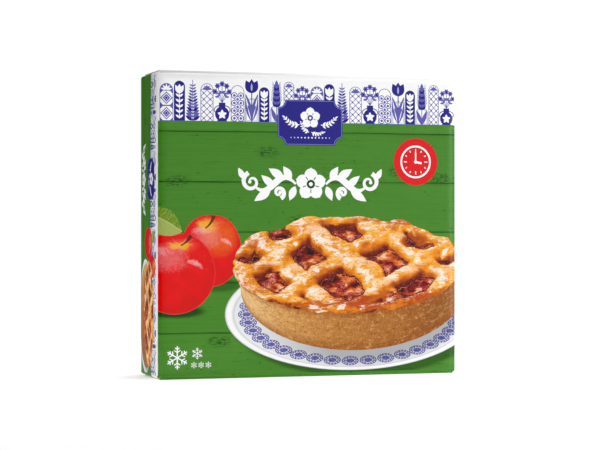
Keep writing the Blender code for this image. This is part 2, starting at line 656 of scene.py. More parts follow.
def apple_skin(finish):
    x, y, flush = finish.attribute("picture")
    far = x * x + y * y
    facing = finish.math("SQRT", finish.math("MAXIMUM", 1.0 - far, 0.0))
    light = x * -0.30 + y * 0.42 + facing * 0.86
    from_x, from_y = x - 0.17 + flush * 0.31, y - 0.65
    near_stalk = finish.math("SQRT", from_x * from_x + from_y * from_y * (7.0 - flush * 4.0))
    bearing = finish.math("ARCTAN2", from_x, from_y + 0.02)
    side_x, side_y = x - 0.30, y - 0.34
    warm_side = (side_x * side_x + side_y * side_y * 1.2).fades(0.0, 0.55)

    streak = finish.noise((bearing * 3.0, near_stalk * 0.9, flush * 5.0), detail=5.0)
    blotch = finish.noise((x * 5.0, y * 9.0, 7.0 + flush), detail=4.0)
    dapple = finish.noise((x * 16.0, y * 16.0, flush), detail=3.0)
    rosy = (near_stalk + (streak - 0.5) * 0.3).fades(0.10, 0.55, 0.7)
    golden = (near_stalk + (blotch - 0.5) * 0.5).fades(0.10, 0.34 + flush * 0.10, 0.9)
    colour = finish.coats(
        finish.mix((224, 26, 38), (214, 16, 30), streak.ease(0.35, 0.7)),
        ((228, 104, 40), warm_side * flush * (blotch + 0.20)),
        ((232, 96, 72), rosy),
        ((238, 176, 40), golden),
        ((240, 150, 140), streak.ease(0.55, 0.68) * near_stalk.fades(0.20, 0.70, 0.45)),
        ((186, 10, 28), light.fades(0.02, 0.50, 0.3)),
        ((240, 120, 106), dapple.ease(0.62, 0.76) * y.ease(-0.5, 0.5) * 0.3),
    )

    grainy = finish.noise((x * 8.0, y * 8.0, 2.0), detail=4.0)
    dewy = (finish.cells((x, y, 0.0), 26.0) - 0.4) * 0.7
    for spot_x, spot_y, wide, high, tilt, curve, power in SHINES:
        across = (x - spot_x) - (y - spot_y) * tilt
        along = (y - spot_y) + (x - spot_x) * tilt + across * across * curve
        apart = (across / wide) ** 2.0 + (along / high) ** 2.0
        shine = (apart + (grainy - 0.5) * 0.9 + dewy).fades(-0.1, 1.2, power)
        colour = finish.mix(colour, (242, 184, 184), shine)
    return finish.mix(colour, (236, 92, 84), far.ease(0.92, 1.0) * 0.45)


INKS["apple"] = varnished("Pictured_apple", apple_skin)
print("an apple has", len(SHINES), "shines")

# %% Leaf and stalk inks
def leaf_green(finish):
    """picture is the share of the way along the rib, and the height over it."""
    along, side, _ = finish.attribute("picture")
    vein = finish.math("FRACT", along * 5.0 + abs(side) * 1.2)
    patchy = finish.noise((along * 18.0, side * 8.0, 1.0), detail=4.0)
    light_half = finish.mix((170, 182, 106), (144, 164, 82), patchy)
    dark_half = finish.mix((136, 160, 62), (88, 124, 38), patchy.ease(0.34, 0.66))
    return finish.coats(
        finish.mix(light_half, dark_half, side.ease(-0.03, 0.06)),
        ((176, 190, 110), abs(vein - 0.5).fades(0.03, 0.12, 0.22)),
        ((190, 196, 120), abs(side).fades(0.02, 0.07, 0.8)),
    )


def stalk_brown(finish):
    x, y, _ = finish.attribute("picture")
    bark = finish.noise((x * 2.0, y * 2.0, 0.0), detail=3.0)
    return finish.mix((44, 22, 16), (128, 76, 36), bark.ease(0.42, 0.60))


INKS["leaf"] = varnished("Pictured_leaf", leaf_green)
INKS["stalk"] = varnished("Pictured_stalk", stalk_brown)
print("inks so far", len(INKS))

# %% [markdown]
# ## Pictured pastry
#
# The pie on the pack has three kinds of surface: glazed strips of pastry, round and shiny;
# a pale, matt wall of coarse crumb; and dark, wet filling in the gaps. The relief of the top
# is worked out further below, and reaches the ink as one number at each point of the mesh:
# how light the pastry is there, or, below 0, how light the filling is. The ink turns that
# number into crust brown, gold and cream, and adds browned patches, glaze and cracks.

# %% Filling in the gaps
def filling(finish, x, y, relief):
    """Chunks of fruit in dark syrup: paler where the light reaches them."""
    chunk_place = (x * 0.13, y * 0.21, 0.0)
    wet = finish.noise((x * 0.30, y * 0.55, 5.0), detail=4.0, roughness=0.55)
    lit = (relief + 1.0) * 3.1 + (wet - 0.5) - finish.cells(chunk_place) * 0.4 - 0.06
    berry = finish.ramp(
        lit,
        (0.05, (34, 6, 12)),
        (0.30, (86, 14, 20)),
        (0.55, (140, 26, 20)),
        (0.76, (190, 60, 36)),
        (1.00, (244, 184, 156)),
    )
    apple_piece = finish.ramp(
        lit,
        (0.05, (58, 16, 8)),
        (0.28, (128, 42, 16)),
        (0.52, (190, 78, 22)),
        (0.74, (226, 126, 48)),
        (1.00, (252, 216, 178)),
    )
    kind = finish.cells(chunk_place, 0.8, output=1)
    colour = finish.mix(berry, apple_piece, kind.ease(0.46, 0.60))
    glint = abs(wet - 0.46).fades(0.005, 0.03, 0.45) * lit.ease(0.35, 0.7)
    return finish.mix(colour, (250, 218, 200), glint)


# %% Glazed pastry
# The half widths of the pie's top, as it is seen at a slant, and how high its middle lies
PIE_ACROSS, PIE_UP = 93.0, 36.0
TOP_MIDDLE = -3.0

# Where the glaze shines: place, half widths, strength and tone
GLAZED_SPOTS = (
    (-24.0, 25.0, 15.0, 5.0, 0.60, (250, 222, 186)),
    (-66.0, -0.5, 14.0, 1.8, 0.62, (252, 226, 196)),
    (12.0, 0.0, 14.0, 4.5, 0.55, (248, 214, 166)),
    (-40.0, -3.0, 9.0, 4.0, 0.55, (250, 218, 186)),
    (50.0, -6.0, 11.0, 3.0, 0.52, (250, 216, 180)),
    (-22.0, -21.5, 15.0, 2.4, 0.60, (252, 228, 200)),
    (44.0, 19.0, 12.0, 3.0, 0.52, (250, 220, 186)),
    (30.0, -15.0, 11.0, 3.6, 0.52, (249, 214, 176)),
    (76.0, -8.0, 10.0, 2.6, 0.50, (250, 222, 192)),
)

# Where the crust has browned: place, half widths and strength
BAKED_SPOTS = (
    (12.0, -32.0, 29.0, 7.0, 1.00),
    (56.0, -27.0, 29.0, 6.4, 1.00),
    (-28.0, -33.0, 18.0, 4.4, 0.80),
    (30.0, -27.0, 9.0, 7.0, 0.70),
    (-66.0, -21.0, 15.0, 4.0, 0.60),
    (40.0, 32.0, 32.0, 4.0, 0.80),
    (-82.0, 6.0, 8.0, 4.0, 0.65),
)
print("patches on the pastry", len(GLAZED_SPOTS) + len(BAKED_SPOTS))

# %% Ink of the pie's top
def pie_top(finish):
    """picture is the place in mm and the relief: light on pastry, or below 0 for filling."""
    x, y, relief = finish.attribute("picture")
    rough = finish.noise((x * 0.26, y * 0.46, 0.0), detail=4.0)
    lit = relief + (rough - 0.5) * 0.20
    colour = finish.ramp(
        lit,
        (0.00, (96, 32, 22)),
        (0.18, (164, 76, 36)),
        (0.34, (218, 122, 38)),
        (0.50, (240, 156, 42)),
        (0.68, (243, 180, 74)),
        (0.86, (248, 207, 142)),
        (1.12, (255, 240, 224)),
    )
    browned = finish.noise((x * 0.06, y * 0.10, 4.0), detail=4.0, roughness=0.6)
    edge = finish.math("SQRT", (x / PIE_ACROSS) ** 2.0 + ((y - TOP_MIDDLE) / PIE_UP) ** 2.0)
    baked = browned + edge.ease(0.80, 1.0) * 0.07
    brown = finish.mix((132, 48, 26), (222, 118, 44), lit.ease(0.1, 0.8))
    colour = finish.mix(colour, brown, baked.ease(0.52, 0.72) * 0.85)

    flow = (x * 0.065, y * 0.25, 8.0)
    wave = finish.noise(flow, detail=3.0, roughness=0.55, distortion=1.1)

    def spot_share(spot_x, spot_y, wide, high, power):
        apart = ((x - spot_x) / wide) ** 2.0 + ((y - spot_y) / high) ** 2.0
        ragged = apart + (wave - 0.5) * 3.0 + (rough - 0.5)
        return ragged.fades(0.1, 1.2, power) * lit.ease(0.20, 0.45)

    for spot in BAKED_SPOTS:
        colour = finish.mix(colour, (198, 128, 98), spot_share(*spot), "MULTIPLY")
    grain = finish.noise((x, y * 1.3, 2.0), detail=3.0)
    cracked = finish.noise((x * 0.20, y * 0.46, 14.0), detail=3.0, distortion=0.8)
    colour = finish.coats(
        colour,
        ((150, 64, 28), grain.ease(0.58, 0.74) * lit.ease(0.66, 0.46) * 0.5),
        ((251, 218, 178), (relief + (wave - 0.5) * 1.1).ease(0.70, 0.92) * 0.6),
        ((255, 240, 232), (wave + (lit - 0.62) * 0.75).ease(0.58, 0.64) * 0.6),
        ((255, 244, 236), abs(wave - 0.47).fades(0.006, 0.022, 0.7) * lit.ease(0.44, 0.70)),
        *((tone, spot_share(*spot)) for *spot, tone in GLAZED_SPOTS),
        ((178, 82, 30), abs(cracked - 0.5).fades(0.004, 0.024, 0.7)),
    )
    inside = filling(finish, x, y, relief)
    inside = finish.mix(inside, (92, 30, 18), relief.ease(-0.66, -0.60))
    return finish.mix(inside, colour, relief.ease(-0.10, 0.04))


INKS["pie_top"] = varnished("Pictured_glazed_lattice", pie_top)
print("nodes in the ink of the pie's top", len(INKS["pie_top"].node_tree.nodes))

# %% Wall of the pie
def pastry_wall(finish):
    """picture is the share across the wall and the share up it."""
    across, up, _ = finish.attribute("picture")
    place = (across * 90.0, up * 30.0, 6.0)
    crumb = finish.noise(place, scale=0.45, detail=6.0, roughness=0.7)
    uneven = finish.noise((across * 11.0, up * 9.0, 1.0), detail=4.0, roughness=0.65)
    fine = finish.noise(place, scale=0.62, detail=4.0, roughness=0.7)
    holes = finish.cells(place, 0.30) + (crumb - 0.5) * 1.2
    colour = finish.ramp(
        across + (crumb - 0.5) * 0.9,
        (-1.00, (234, 194, 138)),
        (-0.62, (208, 154, 88)),
        (-0.20, (182, 123, 61)),
        (0.35, (167, 106, 52)),
        (0.70, (144, 85, 39)),
        (1.00, (160, 110, 64)),
    )
    return finish.coats(
        colour,
        ((150, 84, 36), (up + (crumb - 0.5) * 0.5).fades(0.0, 0.35, 0.7)),
        ((160, 88, 40), (up + (crumb - 0.5) * 0.3).ease(0.80, 1.0) * 0.8),
        ((138, 82, 38), uneven.ease(0.50, 0.70) * 0.45),
        ((222, 170, 106), uneven.ease(0.48, 0.30) * 0.5),
        ((112, 62, 26), fine.ease(0.54, 0.70) * 0.7),
        ((240, 202, 142), fine.ease(0.44, 0.30) * 0.5),
        ((96, 50, 20), holes.fades(0.0, 0.14, 0.8)),
    )


INKS["wall"] = varnished("Pictured_pastry_wall", pastry_wall)
print("nodes in the wall's ink", len(INKS["wall"].node_tree.nodes))

# %% [markdown]
# ## Pictured plate
#
# A white plate lies under the pie. Its rim catches the light, the well is a little bluer,
# and the pie leaves a soft shadow on it.

# %% Plate inks
def plate_white(finish):
    """picture is the place on the plate as a share of its half widths, and a shadow."""
    x, y, shadow = finish.attribute("picture")
    far = finish.math("SQRT", x * x + y * y)
    return finish.coats(
        finish.mix((231, 232, 234), (246, 247, 248), far.ease(0.90, 0.97)),
        ((190, 194, 200), abs(far - 0.935).fades(0.0, 0.018, 0.6)),
        ((170, 176, 180), far.ease(0.982, 1.0) * 0.8),
        ((96, 98, 104), shadow),
    )


def plate_blue(finish):
    """The blue of the plate's pattern, with the same shadow on it."""
    x, y, shadow = finish.attribute("picture")
    pooled = finish.noise((x * 40.0, y * 40.0, 0.0), detail=3.0)
    colour = finish.mix((84, 84, 158), (116, 116, 182), pooled.ease(0.4, 0.6))
    return finish.mix(colour, (60, 60, 92), shadow)


INKS["plate"] = varnished("Pictured_plate", plate_white)
INKS["plate_blue"] = varnished("Pictured_plate_blue", plate_blue)
print("all inks of the print", len(INKS))

# %% [markdown]
# ## The blue border
#
# Along the top runs a white band with a border in blue, dense and upright like old painted
# tiles: trellises, tulips, ears of wheat, ferns and jugs. Each is a small function that
# draws in a strip of given width and height, standing on the line below.

# %% Frames of the border
# The width of the border's thin lines
LINE = 0.46


def arch(width, height, inset=0.0, steps=9):
    """A door shape with a round head, its foot on the ground line."""
    half = width / 2 - inset
    rise = min(width / 2, height * 0.4)
    head = oval(width / 2 + 1j * (height - rise), half, rise - inset, steps, 0, 180)
    return [complex(inset, inset), complex(width - inset, inset)] + head


def arched_frame(pen, width, height):
    for inset, ink in ((0, "line"), (1, "white")):
        pen.fill(arch(width, height, inset * LINE), ink)


def niche(pen, width, height):
    """An arched frame of two thin lines, on which a motif stands."""
    arched_frame(pen, width, height)
    for inset, ink in ((2.1, "lace"), (2.9, "white")):
        pen.fill(arch(width, height, inset * LINE), ink)


def leaf_pair(pen, foot, reach, lean, plump, ink, steps=6):
    """Two leaves from one foot, which lean away from their stem to both sides."""
    for side in (-1, 1):
        pen.fill(petal(foot, foot + reach * turned(side * lean), plump, steps), ink)


def trellis(pen, width, height):
    """Crossed laths under a round head with a fan in it."""
    rise = min(width / 2, height * 0.4)
    arched_frame(pen, width, height)
    step = 0.5 * width
    rows = round((height - rise) / step)
    step = (height - rise) / rows
    for i in range(rows):
        foot = 1j * step * i
        for left, right in ((0, 0.5), (0.5, 1)):
            pen.stroke([foot + left * width, foot + right * width + 1j * step], LINE, "line")
            pen.stroke([foot + 1j * step + left * width, foot + right * width], LINE, "line")
        for share in (0.25, 0.75):
            pen.disc(share * width + foot + 0.5j * step, 0.62, "indigo", 8)
    pen.fill(rectangle(1j * (height - rise), width + 1j * (height - rise + LINE)), "line")
    hub = width / 2 + 1j * (height - 0.95 * rise)
    for i in range(5):
        pen.fill(petal(hub, hub + 0.76 * rise * turned(18 + 36 * i), 0.42, 6), "line")


print("shapes in a trellis", shapes_in(trellis, 10.0, 28.0))

# %% Plants of the border
def tulip(pen, width, height):
    """A tulip with two long leaves in a low niche."""
    middle = width / 2
    head = 0.32 * height
    niche(pen, width, 0.55 * height)
    pen.stroke([middle, middle + 1j * (height - head)], LINE * 1.6, "indigo")
    for side in (-1, 1):
        for share, tall in ((0.46, 0.66), (0.30, 0.40)):
            tip = middle + side * share * width + 1j * tall * height
            pen.fill(petal(middle + 0.4j, tip, 0.24, 9), "line")
            pen.fill(petal(middle + side * 0.7 + 2.0j, tip - 1.8j, 0.07, 8), "white")
    cup = middle + 1j * (height - head)
    for lean in (-26, 26, 0):
        pen.fill(petal(cup - 0.4j, cup + head * 1j * turned(lean), 0.56, 9), "indigo")
    pen.fill(petal(cup + 0.1j * head, cup + 0.72j * head, 0.24, 8), "lace")


def wheat(pen, width, height):
    """An ear of wheat with its awns, standing in a niche."""
    middle = width / 2
    niche(pen, width, 0.42 * height)
    pen.stroke([middle, middle + 0.9j * height], LINE * 1.3, "line")
    pairs = 8
    for i in range(pairs):
        foot = middle + 1j * height * (0.36 + 0.065 * i)
        size = width * (0.50 - 0.02 * i)
        for side in (-1, 1):
            tip = foot + size * 1j * turned(side * 40)
            pen.stroke([tip, tip + 0.5 * size * 1j * turned(side * 20)], LINE * 0.8, "line")
            pen.fill(petal(foot, tip, 0.52, 6), "line" if i % 2 else "indigo")
    pen.fill(petal(middle + 0.84j * height, middle + 1j * height, 0.5, 6), "line")
    for side in (-1, 1):
        pen.fill(petal(middle, middle + side * 0.42 * width + 0.36j * height, 0.26, 8), "line")


def fern(pen, width, height):
    """A fern, leaf by leaf, narrower towards its tip."""
    middle = width / 2
    pen.stroke([middle, middle + 1j * height * 0.98], LINE * 1.2, "line")
    count = 12
    for i in range(count):
        foot = middle + 1j * height * (0.02 + 0.88 * i / count)
        size = 0.55 * width * (1 - 0.62 * i / count)
        leaf_pair(pen, foot, size * 1.12j, 58, 0.40, "line" if i % 3 else "indigo")


print("shapes in the plants", [shapes_in(plant, 10.0, 30.0) for plant in (tulip, wheat, fern)])

# %% Tiles and scales
def tile_stack(pen, width, height):
    """Square tiles one on another, each with a diamond, under a small fan."""
    count = max(2, int((height - 0.5 * width) // (width * 0.86)))
    size = (height - 0.5 * width) / count
    for i in range(count):
        low = 1j * size * i
        pen.fill(rectangle(low, low + width + 1j * size), "line")
        inner = rectangle(low + LINE * (1 + 1j), low + width - LINE + 1j * (size - LINE))
        pen.fill(inner, "white")
        middle = low + width / 2 + 0.5j * size
        reach = 0.5 * min(width, size) - LINE
        for corner in (1 + 1j, -1 + 1j, -1 - 1j, 1 - 1j):
            right, over = corner.real, 1j * corner.imag
            hub = middle + right * (width / 2 - LINE) + over * (size / 2 - LINE)
            pen.fill([hub, hub - right * 0.42 * reach, hub - over * 0.42 * reach], "line")
        for share, ink in ((1.0, "line"), (0.80, "white"), (0.62, "line"), (0.36, "lace")):
            pen.fill([middle + share * reach * 1j**k for k in range(4)], ink)
        pen.disc(middle, 0.18 * reach, "indigo", 8)
    hub = width / 2 + 1j * size * count
    pen.fill(oval(hub, width / 2, width / 2, 10, 0, 180), "line")
    for i in range(5):
        pen.fill(petal(hub + 0.3j, hub + 0.46 * width * turned(18 + 36 * i), 0.34, 6), "white")


def scales(pen, width, height):
    """Rows of overlapping scales in an arched frame."""
    arched_frame(pen, width, height)
    rows = int(height * 0.80 / (0.27 * width))
    for i in range(rows, 0, -1):
        up = 0.27 * width * (i - 0.05)
        centres = (0.26, 0.74) if i % 2 else (0.5,)
        for share in centres:
            hub = share * width + 1j * up
            for size, ink in ((0.235, "line"), (0.175, "white"), (0.10, "line")):
                pen.disc(hub, size * width, ink)


print("shapes in tiles and scales", [shapes_in(m, 10.0, 28.0) for m in (tile_stack, scales)])

# %% Jug and dark arch
def jug(pen, width, height):
    """A dark jug with flowers in it."""
    middle = width / 2
    body = 0.46 * height
    handles = oval(middle + 0.62j * body, 0.5 * width, 0.24 * body, 16, -60, 240)
    pen.fill(ribbon(handles, LINE * 1.4), "indigo")
    pen.fill(oval(middle + 0.40j * body, 0.44 * width, 0.40 * body, 24), "indigo")
    for half, low, high in ((0.2, 0.6, 1.0), (0.3, 0.0, 0.08)):
        neck_or_foot = rectangle(low * 1j * body - half * width, high * 1j * body + half * width)
        pen.fill([middle + point for point in neck_or_foot], "indigo")
    for i in range(5):
        hub = middle + 0.38j * body
        pen.fill(petal(hub, hub + 0.30 * width * turned(90 + 72 * i), 0.6, 6), "white")
    for lean, length in ((-34, 0.70), (34, 0.70), (-16, 0.92), (16, 0.92), (0, 1.0)):
        foot = middle + 1j * body
        tip = foot + (height - body) * length * 0.84 * 1j * turned(lean)
        pen.stroke([foot, tip], LINE, "line")
        leaf_pair(pen, (foot + tip) / 2, 0.24 * width * 1j * turned(lean), 50, 0.5, "line")
        for i in range(6):
            pen.fill(petal(tip, tip + 0.19 * width * turned(60 * i), 0.7, 6), "line")
        pen.disc(tip, 0.07 * width, "indigo", 8)


def dark_arch(pen, width, height):
    """A dark panel with a white tulip and leaves."""
    pen.fill(arch(width, height), "indigo")
    middle = width / 2
    pen.stroke([middle + 0.06j * height, middle + 0.7j * height], LINE * 1.3, "white")
    for i in range(5):
        foot = middle + 1j * height * (0.08 + 0.13 * i)
        leaf_pair(pen, foot, 0.34 * width * 1.3j, 50, 0.42, "white", 7)
    cup = middle + 0.68j * height
    for lean in (-26, 26, 0):
        pen.fill(petal(cup, cup + 0.24 * height * 1j * turned(lean), 0.46, 8), "white")


print("shapes in jug and arch", [shapes_in(motif, 12.0, 30.0) for motif in (jug, dark_arch)])

# %% The border as a row
# Each motif of the border, with its width and height in mm
BORDER = (
    (tile_stack, 10.4, 28.0),
    (dark_arch, 8.6, 30.0),
    (fern, 11.0, 31.5),
    (trellis, 10.0, 28.5),
    (jug, 12.6, 31.0),
    (scales, 10.6, 27.5),
    (tulip, 10.6, 32.5),
    (dark_arch, 8.2, 26.5),
    (wheat, 10.4, 32.0),
    (trellis, 8.4, 31.0),
    (jug, 12.0, 28.5),
)


def blue_border(pen, length, first=0):
    """A row of motifs, about as long as asked, that stands on a thin line."""
    chosen, total, gap = [], 0.0, 0.5
    while total < length - 5:
        chosen.append(BORDER[(first + len(chosen)) % len(BORDER)])
        total += chosen[-1][1] + gap
    stretch = length / total
    at = 0.0
    for motif, width, height in chosen:
        motif(pen.at(at + gap / 2), width * stretch, height)
        at += (width + gap) * stretch
    pen.fill(rectangle(0, length + 0.4j), "line")


print("motifs in turn", [motif.__name__ for motif, _, _ in BORDER])

# %% [markdown]
# ## Plaque, scrollwork, disc and snowflakes
#
# Four things stand on the planks: a dark plaque with scooped corners, white scrollwork in
# the middle, a red disc with a clock on it, and snowflakes that say the pack is frozen. All
# four are plain signs and ornaments, drawn from arcs and petals.

# %% Scooped corners and sprigs
def plaque_outline(width, height, scoop, inset=0.0):
    """A rectangle whose corners are scooped out by circles round them."""
    radius = scoop + inset
    start = degrees(atan2(inset, sqrt(radius**2 - inset**2)))
    outline = []
    for corner, first in ((1 + 1j, 270), (-1 + 1j, 0), (-1 - 1j, 90), (1 - 1j, 180)):
        centre = complex(corner.real * width, corner.imag * height) / 2
        outline += oval(centre, radius, radius, 8, first - start, first - 90 + start)
    return outline


def sprig(pen, ink, length=15.0, pairs=5):
    """A leafy twig that curves up, from the origin to the right."""
    line = bend(0, length * turned(24), -0.16, 10)
    pen.stroke(line, lambda t: 0.75 - 0.4 * t, ink)
    for i in range(pairs):
        foot = line[2 * i + 1]
        way = line[2 * i + 2] - line[2 * i]
        way /= abs(way)
        leaf_pair(pen, foot, length * (0.30 - 0.025 * i) * way, 44, 0.42, ink, 8)
    pen.fill(petal(line[-1], line[-1] + 0.24 * length * turned(36), 0.42, 8), ink)


def mirror_pen(pen):
    """A pen whose shapes come out with left and right changed over."""
    twin = Pen(pen.sheet, pen.origin, pen.factor)
    twin.placed = lambda line: [pen.origin - pen.factor * p.conjugate() for p in line]
    twin.at = lambda origin, factor=1: mirror_pen(pen.at(-complex(origin).conjugate(), factor))
    return twin


print("a scooped outline has", len(plaque_outline(52.0, 34.5, 6.1)), "points")

# %% Blossom and plaque
def blossom(pen, ink, heart, size):
    """A flower with five broad petals."""
    for i in range(5):
        way = 1j * turned(72 * i)
        pen.disc(0.52 * size * way, 0.40 * size, ink, 18)
        pen.fill(petal(0, 0.98 * size * way, 0.62, 9), ink)
    pen.disc(0, 0.26 * size, heart, 16)
    for i in range(5):
        way = 1j * turned(36 + 72 * i)
        pen.stroke([0.30 * size * way, 0.52 * size * way], 0.05 * size, heart)
        pen.disc(0, 0.12 * size, ink)


def plaque(pen, width=52.0, height=34.5, scoop=6.1):
    for inset, ink in ((0, "indigo"), (0.6, "inset"), (1.0, "indigo")):
        pen.fill(plaque_outline(width, height, scoop, inset), ink)
    blossom(pen.at(3.6j), "white", "indigo", 8.6)
    for side in (pen, mirror_pen(pen)):
        sprig(side.at(8.6 - 1.6j), "white", 12.4)
        sprig(side.at(1.0 - 7.2j, turned(-24)), "white", 9.0)
        for i in range(6):
            dot = 2.8 * i + (1.4 - 11.4j)
            side.disc(dot, 0.62 - 0.05 * i, "white", 10)


print("shapes in the plaque", shapes_in(plaque))

# %% Scrollwork
def scrollwork(pen, ink="white"):
    """Bold white scrolls and leaves to both sides of a blossom."""
    blossom(pen, ink, "deep_green", 13.0)
    for side in (pen, mirror_pen(pen)):
        stem = [12 + 33 * t + 5.0j * sin(2 * pi * t * 0.95) for t in shares(20)]
        side.stroke(stem, lambda t: 1.6 + 3.6 * sin(pi * t) ** 1.5, ink)
        for angle, centre, size in ((70, 47.0 + 1.5j, 7.2), (250, 25.5 - 6.5j, 4.6)):
            curl = [
                centre + size * (1 - 0.80 * t) * turned(angle - 430 * t)
                for t in shares(26)
            ]
            side.stroke(curl, lambda t: 3.6 - 2.3 * t, ink)
            side.disc(curl[-1], 1.4, ink, 14)
        for foot, tip, width in (
            (15.5 + 3.8j, 22.0 + 13.4j, 0.52),
            (21.5 + 4.4j, 33.5 + 11.6j, 0.46),
            (29.0 - 2.2j, 39.5 + 6.6j, 0.42),
            (32.0 - 4.6j, 45.0 - 13.0j, 0.42),
            (12.5 - 1.6j, 17.0 - 12.6j, 0.50),
            (53.0 + 3.6j, 57.4 + 12.0j, 0.48),
        ):
            side.fill(petal(foot, tip, width), ink)


print("shapes in the scrollwork", shapes_in(scrollwork))

# %% Disc and snowflakes
def clock_disc(pen, radius=18.1):
    """A red disc with a plain clock face."""
    pen.disc(0, radius, "signal_red", 64)
    for share, ink in ((0.70, "white"), (0.62, "signal_red")):
        pen.disc(0, share * radius, ink, 48)
    for i in range(12):
        way = turned(30 * i)
        length = 0.14 if i % 3 == 0 else 0.08
        mark = [0.54 * radius * way, (0.54 - length) * radius * way]
        pen.stroke(mark, 0.045 * radius, "white")
    for angle, length, width in ((90, 0.40, 0.06), (-12, 0.28, 0.085)):
        tip = length * radius * turned(angle)
        pen.stroke([-0.18 * tip, tip], width * radius, "white")
    pen.disc(0, 0.07 * radius, "white", 16)


def snowflake(pen, radius, ink="white"):
    """Six arms, each with two pairs of barbs."""
    width = 0.11 * radius
    for i in range(6):
        way = turned(90 + 60 * i)
        pen.stroke([0, radius * way], width, ink)
        for share, length in ((0.45, 0.34), (0.72, 0.24)):
            foot = share * radius * way
            for side in (-1, 1):
                tip = foot + length * radius * way * turned(side * 55)
                pen.stroke([foot, tip], width * 0.85, ink)


def frozen_sign(pen):
    """One large snowflake and three small ones beside it."""
    snowflake(pen.at(-6.8 + 0.5j), 8.6)
    for i in range(3):
        snowflake(pen.at(6.0 + 5.6 * i - 5.2j), 2.5)
    snowflake(pen.at(8.6 + 3.4j), 4.4)


print("shapes in disc and snowflakes", shapes_in(clock_disc), shapes_in(frozen_sign))

# %% [markdown]
# ## Apples and leaf
#
# An apple's outline is a circle pulled in at the top, where its stalk stands. The ink reads
# the place within that outline as a share of its half widths.

# %% Draw the apples
def apple(pen, across, up, flush, stalk):
    """One pictured apple round the origin, with its stalk from foot to tip."""
    outline = []
    for i in range(72):
        angle = 2 * pi * i / 72
        dip = 1 - 0.055 * max(0.0, sin(angle)) ** 10
        outline.append(across * cos(angle) * dip + 1j * up * sin(angle) * dip)
    pen.fill(outline, "apple", lambda x, y: (x / across, y / up, flush))
    foot, tip = stalk
    pen.fill(ribbon(bend(foot, tip, -0.10, 8), lambda t: 1.0 + 2.2 * t * t), "stalk")


# Half widths, how pale the skin is, and the stalk from foot to tip
PALER_APPLE = (23.6, 27.6, 1.0, (-4.5 + 16.2j, 2.0 + 25.4j))
RED_APPLE = (31.4, 31.0, 0.1, (4.6 + 20.4j, 12.4 + 28.0j))
WHOLE_APPLE = (31.4, 31.0, 0.6, (-1.0 + 24.0j, 3.9 + 36.6j))

# The leaf's two edges from its tip, and where its rib ends
LEAF_END = -24 + 12.6j
LEAF_UPPER = (0, -0.9 + 3.5j, -3.5 + 9.7j, -8.1 + 15.5j, -13.3 + 17.8j, -18.2 + 18.4j, -24 + 17j)
LEAF_LOWER = (0, -2.3 - 1.5j, -8.1 - 3.1j, -12.7 - 3.1j, -18.2 - 2.0j, -24 + 0.5j)


def leaf(pen):
    """A pictured leaf with its tip at the origin, its rib running to the upper left."""

    def rib(share):
        return LEAF_END * share + 1.2j * sin(pi * clip(share))

    def place(x, y):
        along = x / LEAF_END.real
        return along, (y - rib(along).imag) / 10.0, 0.0

    pen.fill([*LEAF_UPPER, *LEAF_LOWER[:0:-1]], "leaf", place)
    pen.guide([rib(t) for t in shares(12)])


print("the leaf is", abs(LEAF_END), "mm long")

# %% [markdown]
# ## The pie
#
# The pie is seen at a slant. A lattice drawn flat on it would look painted on, because real
# strips stand up: their front faces show, and they hide what lies behind them. So the pie's
# top is first modelled as a field of heights on the real round pie, in a grid of numbers.
# The strips are puffy ridges along their middle lines, and where two cross, one dips under
# the other. A lamp at the back left lights the field, and it is then seen at the slant. All
# that the mesh keeps of it is one number at each point: how light the pastry is there.

# %% Strips of the lattice
WALL_CENTRE, WALL_ACROSS, WALL_DOWN = 5.4 - 18.7j, 92.0, 48.9

# How long a length that runs away from the eye looks, and an upright one
SLANT, RISE = PIE_UP / PIE_ACROSS, 0.92

# The middle lines of the strips as the picture shows them, from the middle of the top
STRIPS_DOWN = (
    (-77 + 20j, -64 + 13j, -54 + 5j, -46 - 5j, -37 - 14j, -26 - 22j, -14 - 29j),
    (-38 + 32j, -24 + 22j, -8 + 9j, 8 - 1j, 20 - 11j, 29 - 20j, 36 - 29j),
    (9 + 35j, 21 + 28j, 35 + 21j, 50 + 11j, 61 + 1j, 73 - 7j, 90 - 13j),
)
STRIPS_UP = (
    (-90 - 7j, -75 - 3j, -62 + 3j, -52 + 12j, -42 + 20j, -31 + 31j),
    (-48 - 28j, -38 - 17j, -24 - 7j, -8 + 3j, 6 + 11j, 18 + 17j, 32 + 26j, 45 + 32j),
    (6 - 31j, 22 - 22j, 40 - 12j, 52 - 4j, 62 + 2j, 74 + 12j, 89 + 18j),
)

# Half the width of a strip, and how far apart the numbers of the field are, in mm
STRIP_HALF, RELIEF_STEP = 11.8, 0.6
print("strips", len(STRIPS_DOWN) + len(STRIPS_UP))

# %% Where the strips cross
def flowing(points, steps=5):
    """A smooth line through all the points."""
    ends = [2 * points[0] - points[1], *points, 2 * points[-1] - points[-2]]
    line = []
    for before, start, end, after in zip(ends, ends[1:], ends[2:], ends[3:]):
        for t in (i / steps for i in range(steps)):
            bow = before - 2.5 * start + 2 * end - 0.5 * after
            twist = 1.5 * (start - end) + 0.5 * (after - before)
            line.append(start + 0.5 * t * (end - before) + t**2 * bow + t**3 * twist)
    return line + [points[-1]]


def laid_flat(line):
    """From the picture to the real round pie. The strips' own height is taken off."""
    return [complex(p.real, (p.imag - TOP_MIDDLE - 2.2) / SLANT) for p in line]


def nearest(place, line):
    """For an array of points, how far the line is and the share of the way along it."""
    gap, share = np.full(place.shape, 1e9), np.zeros(place.shape)
    for i, (start, end) in enumerate(zip(line, line[1:])):
        along = np.clip(((place - start) / (end - start)).real, 0, 1)
        here = abs(place - start - along * (end - start))
        closer = here < gap
        gap[closer] = here[closer]
        share[closer] = ((i + along) / (len(line) - 1))[closer]
    return gap, share


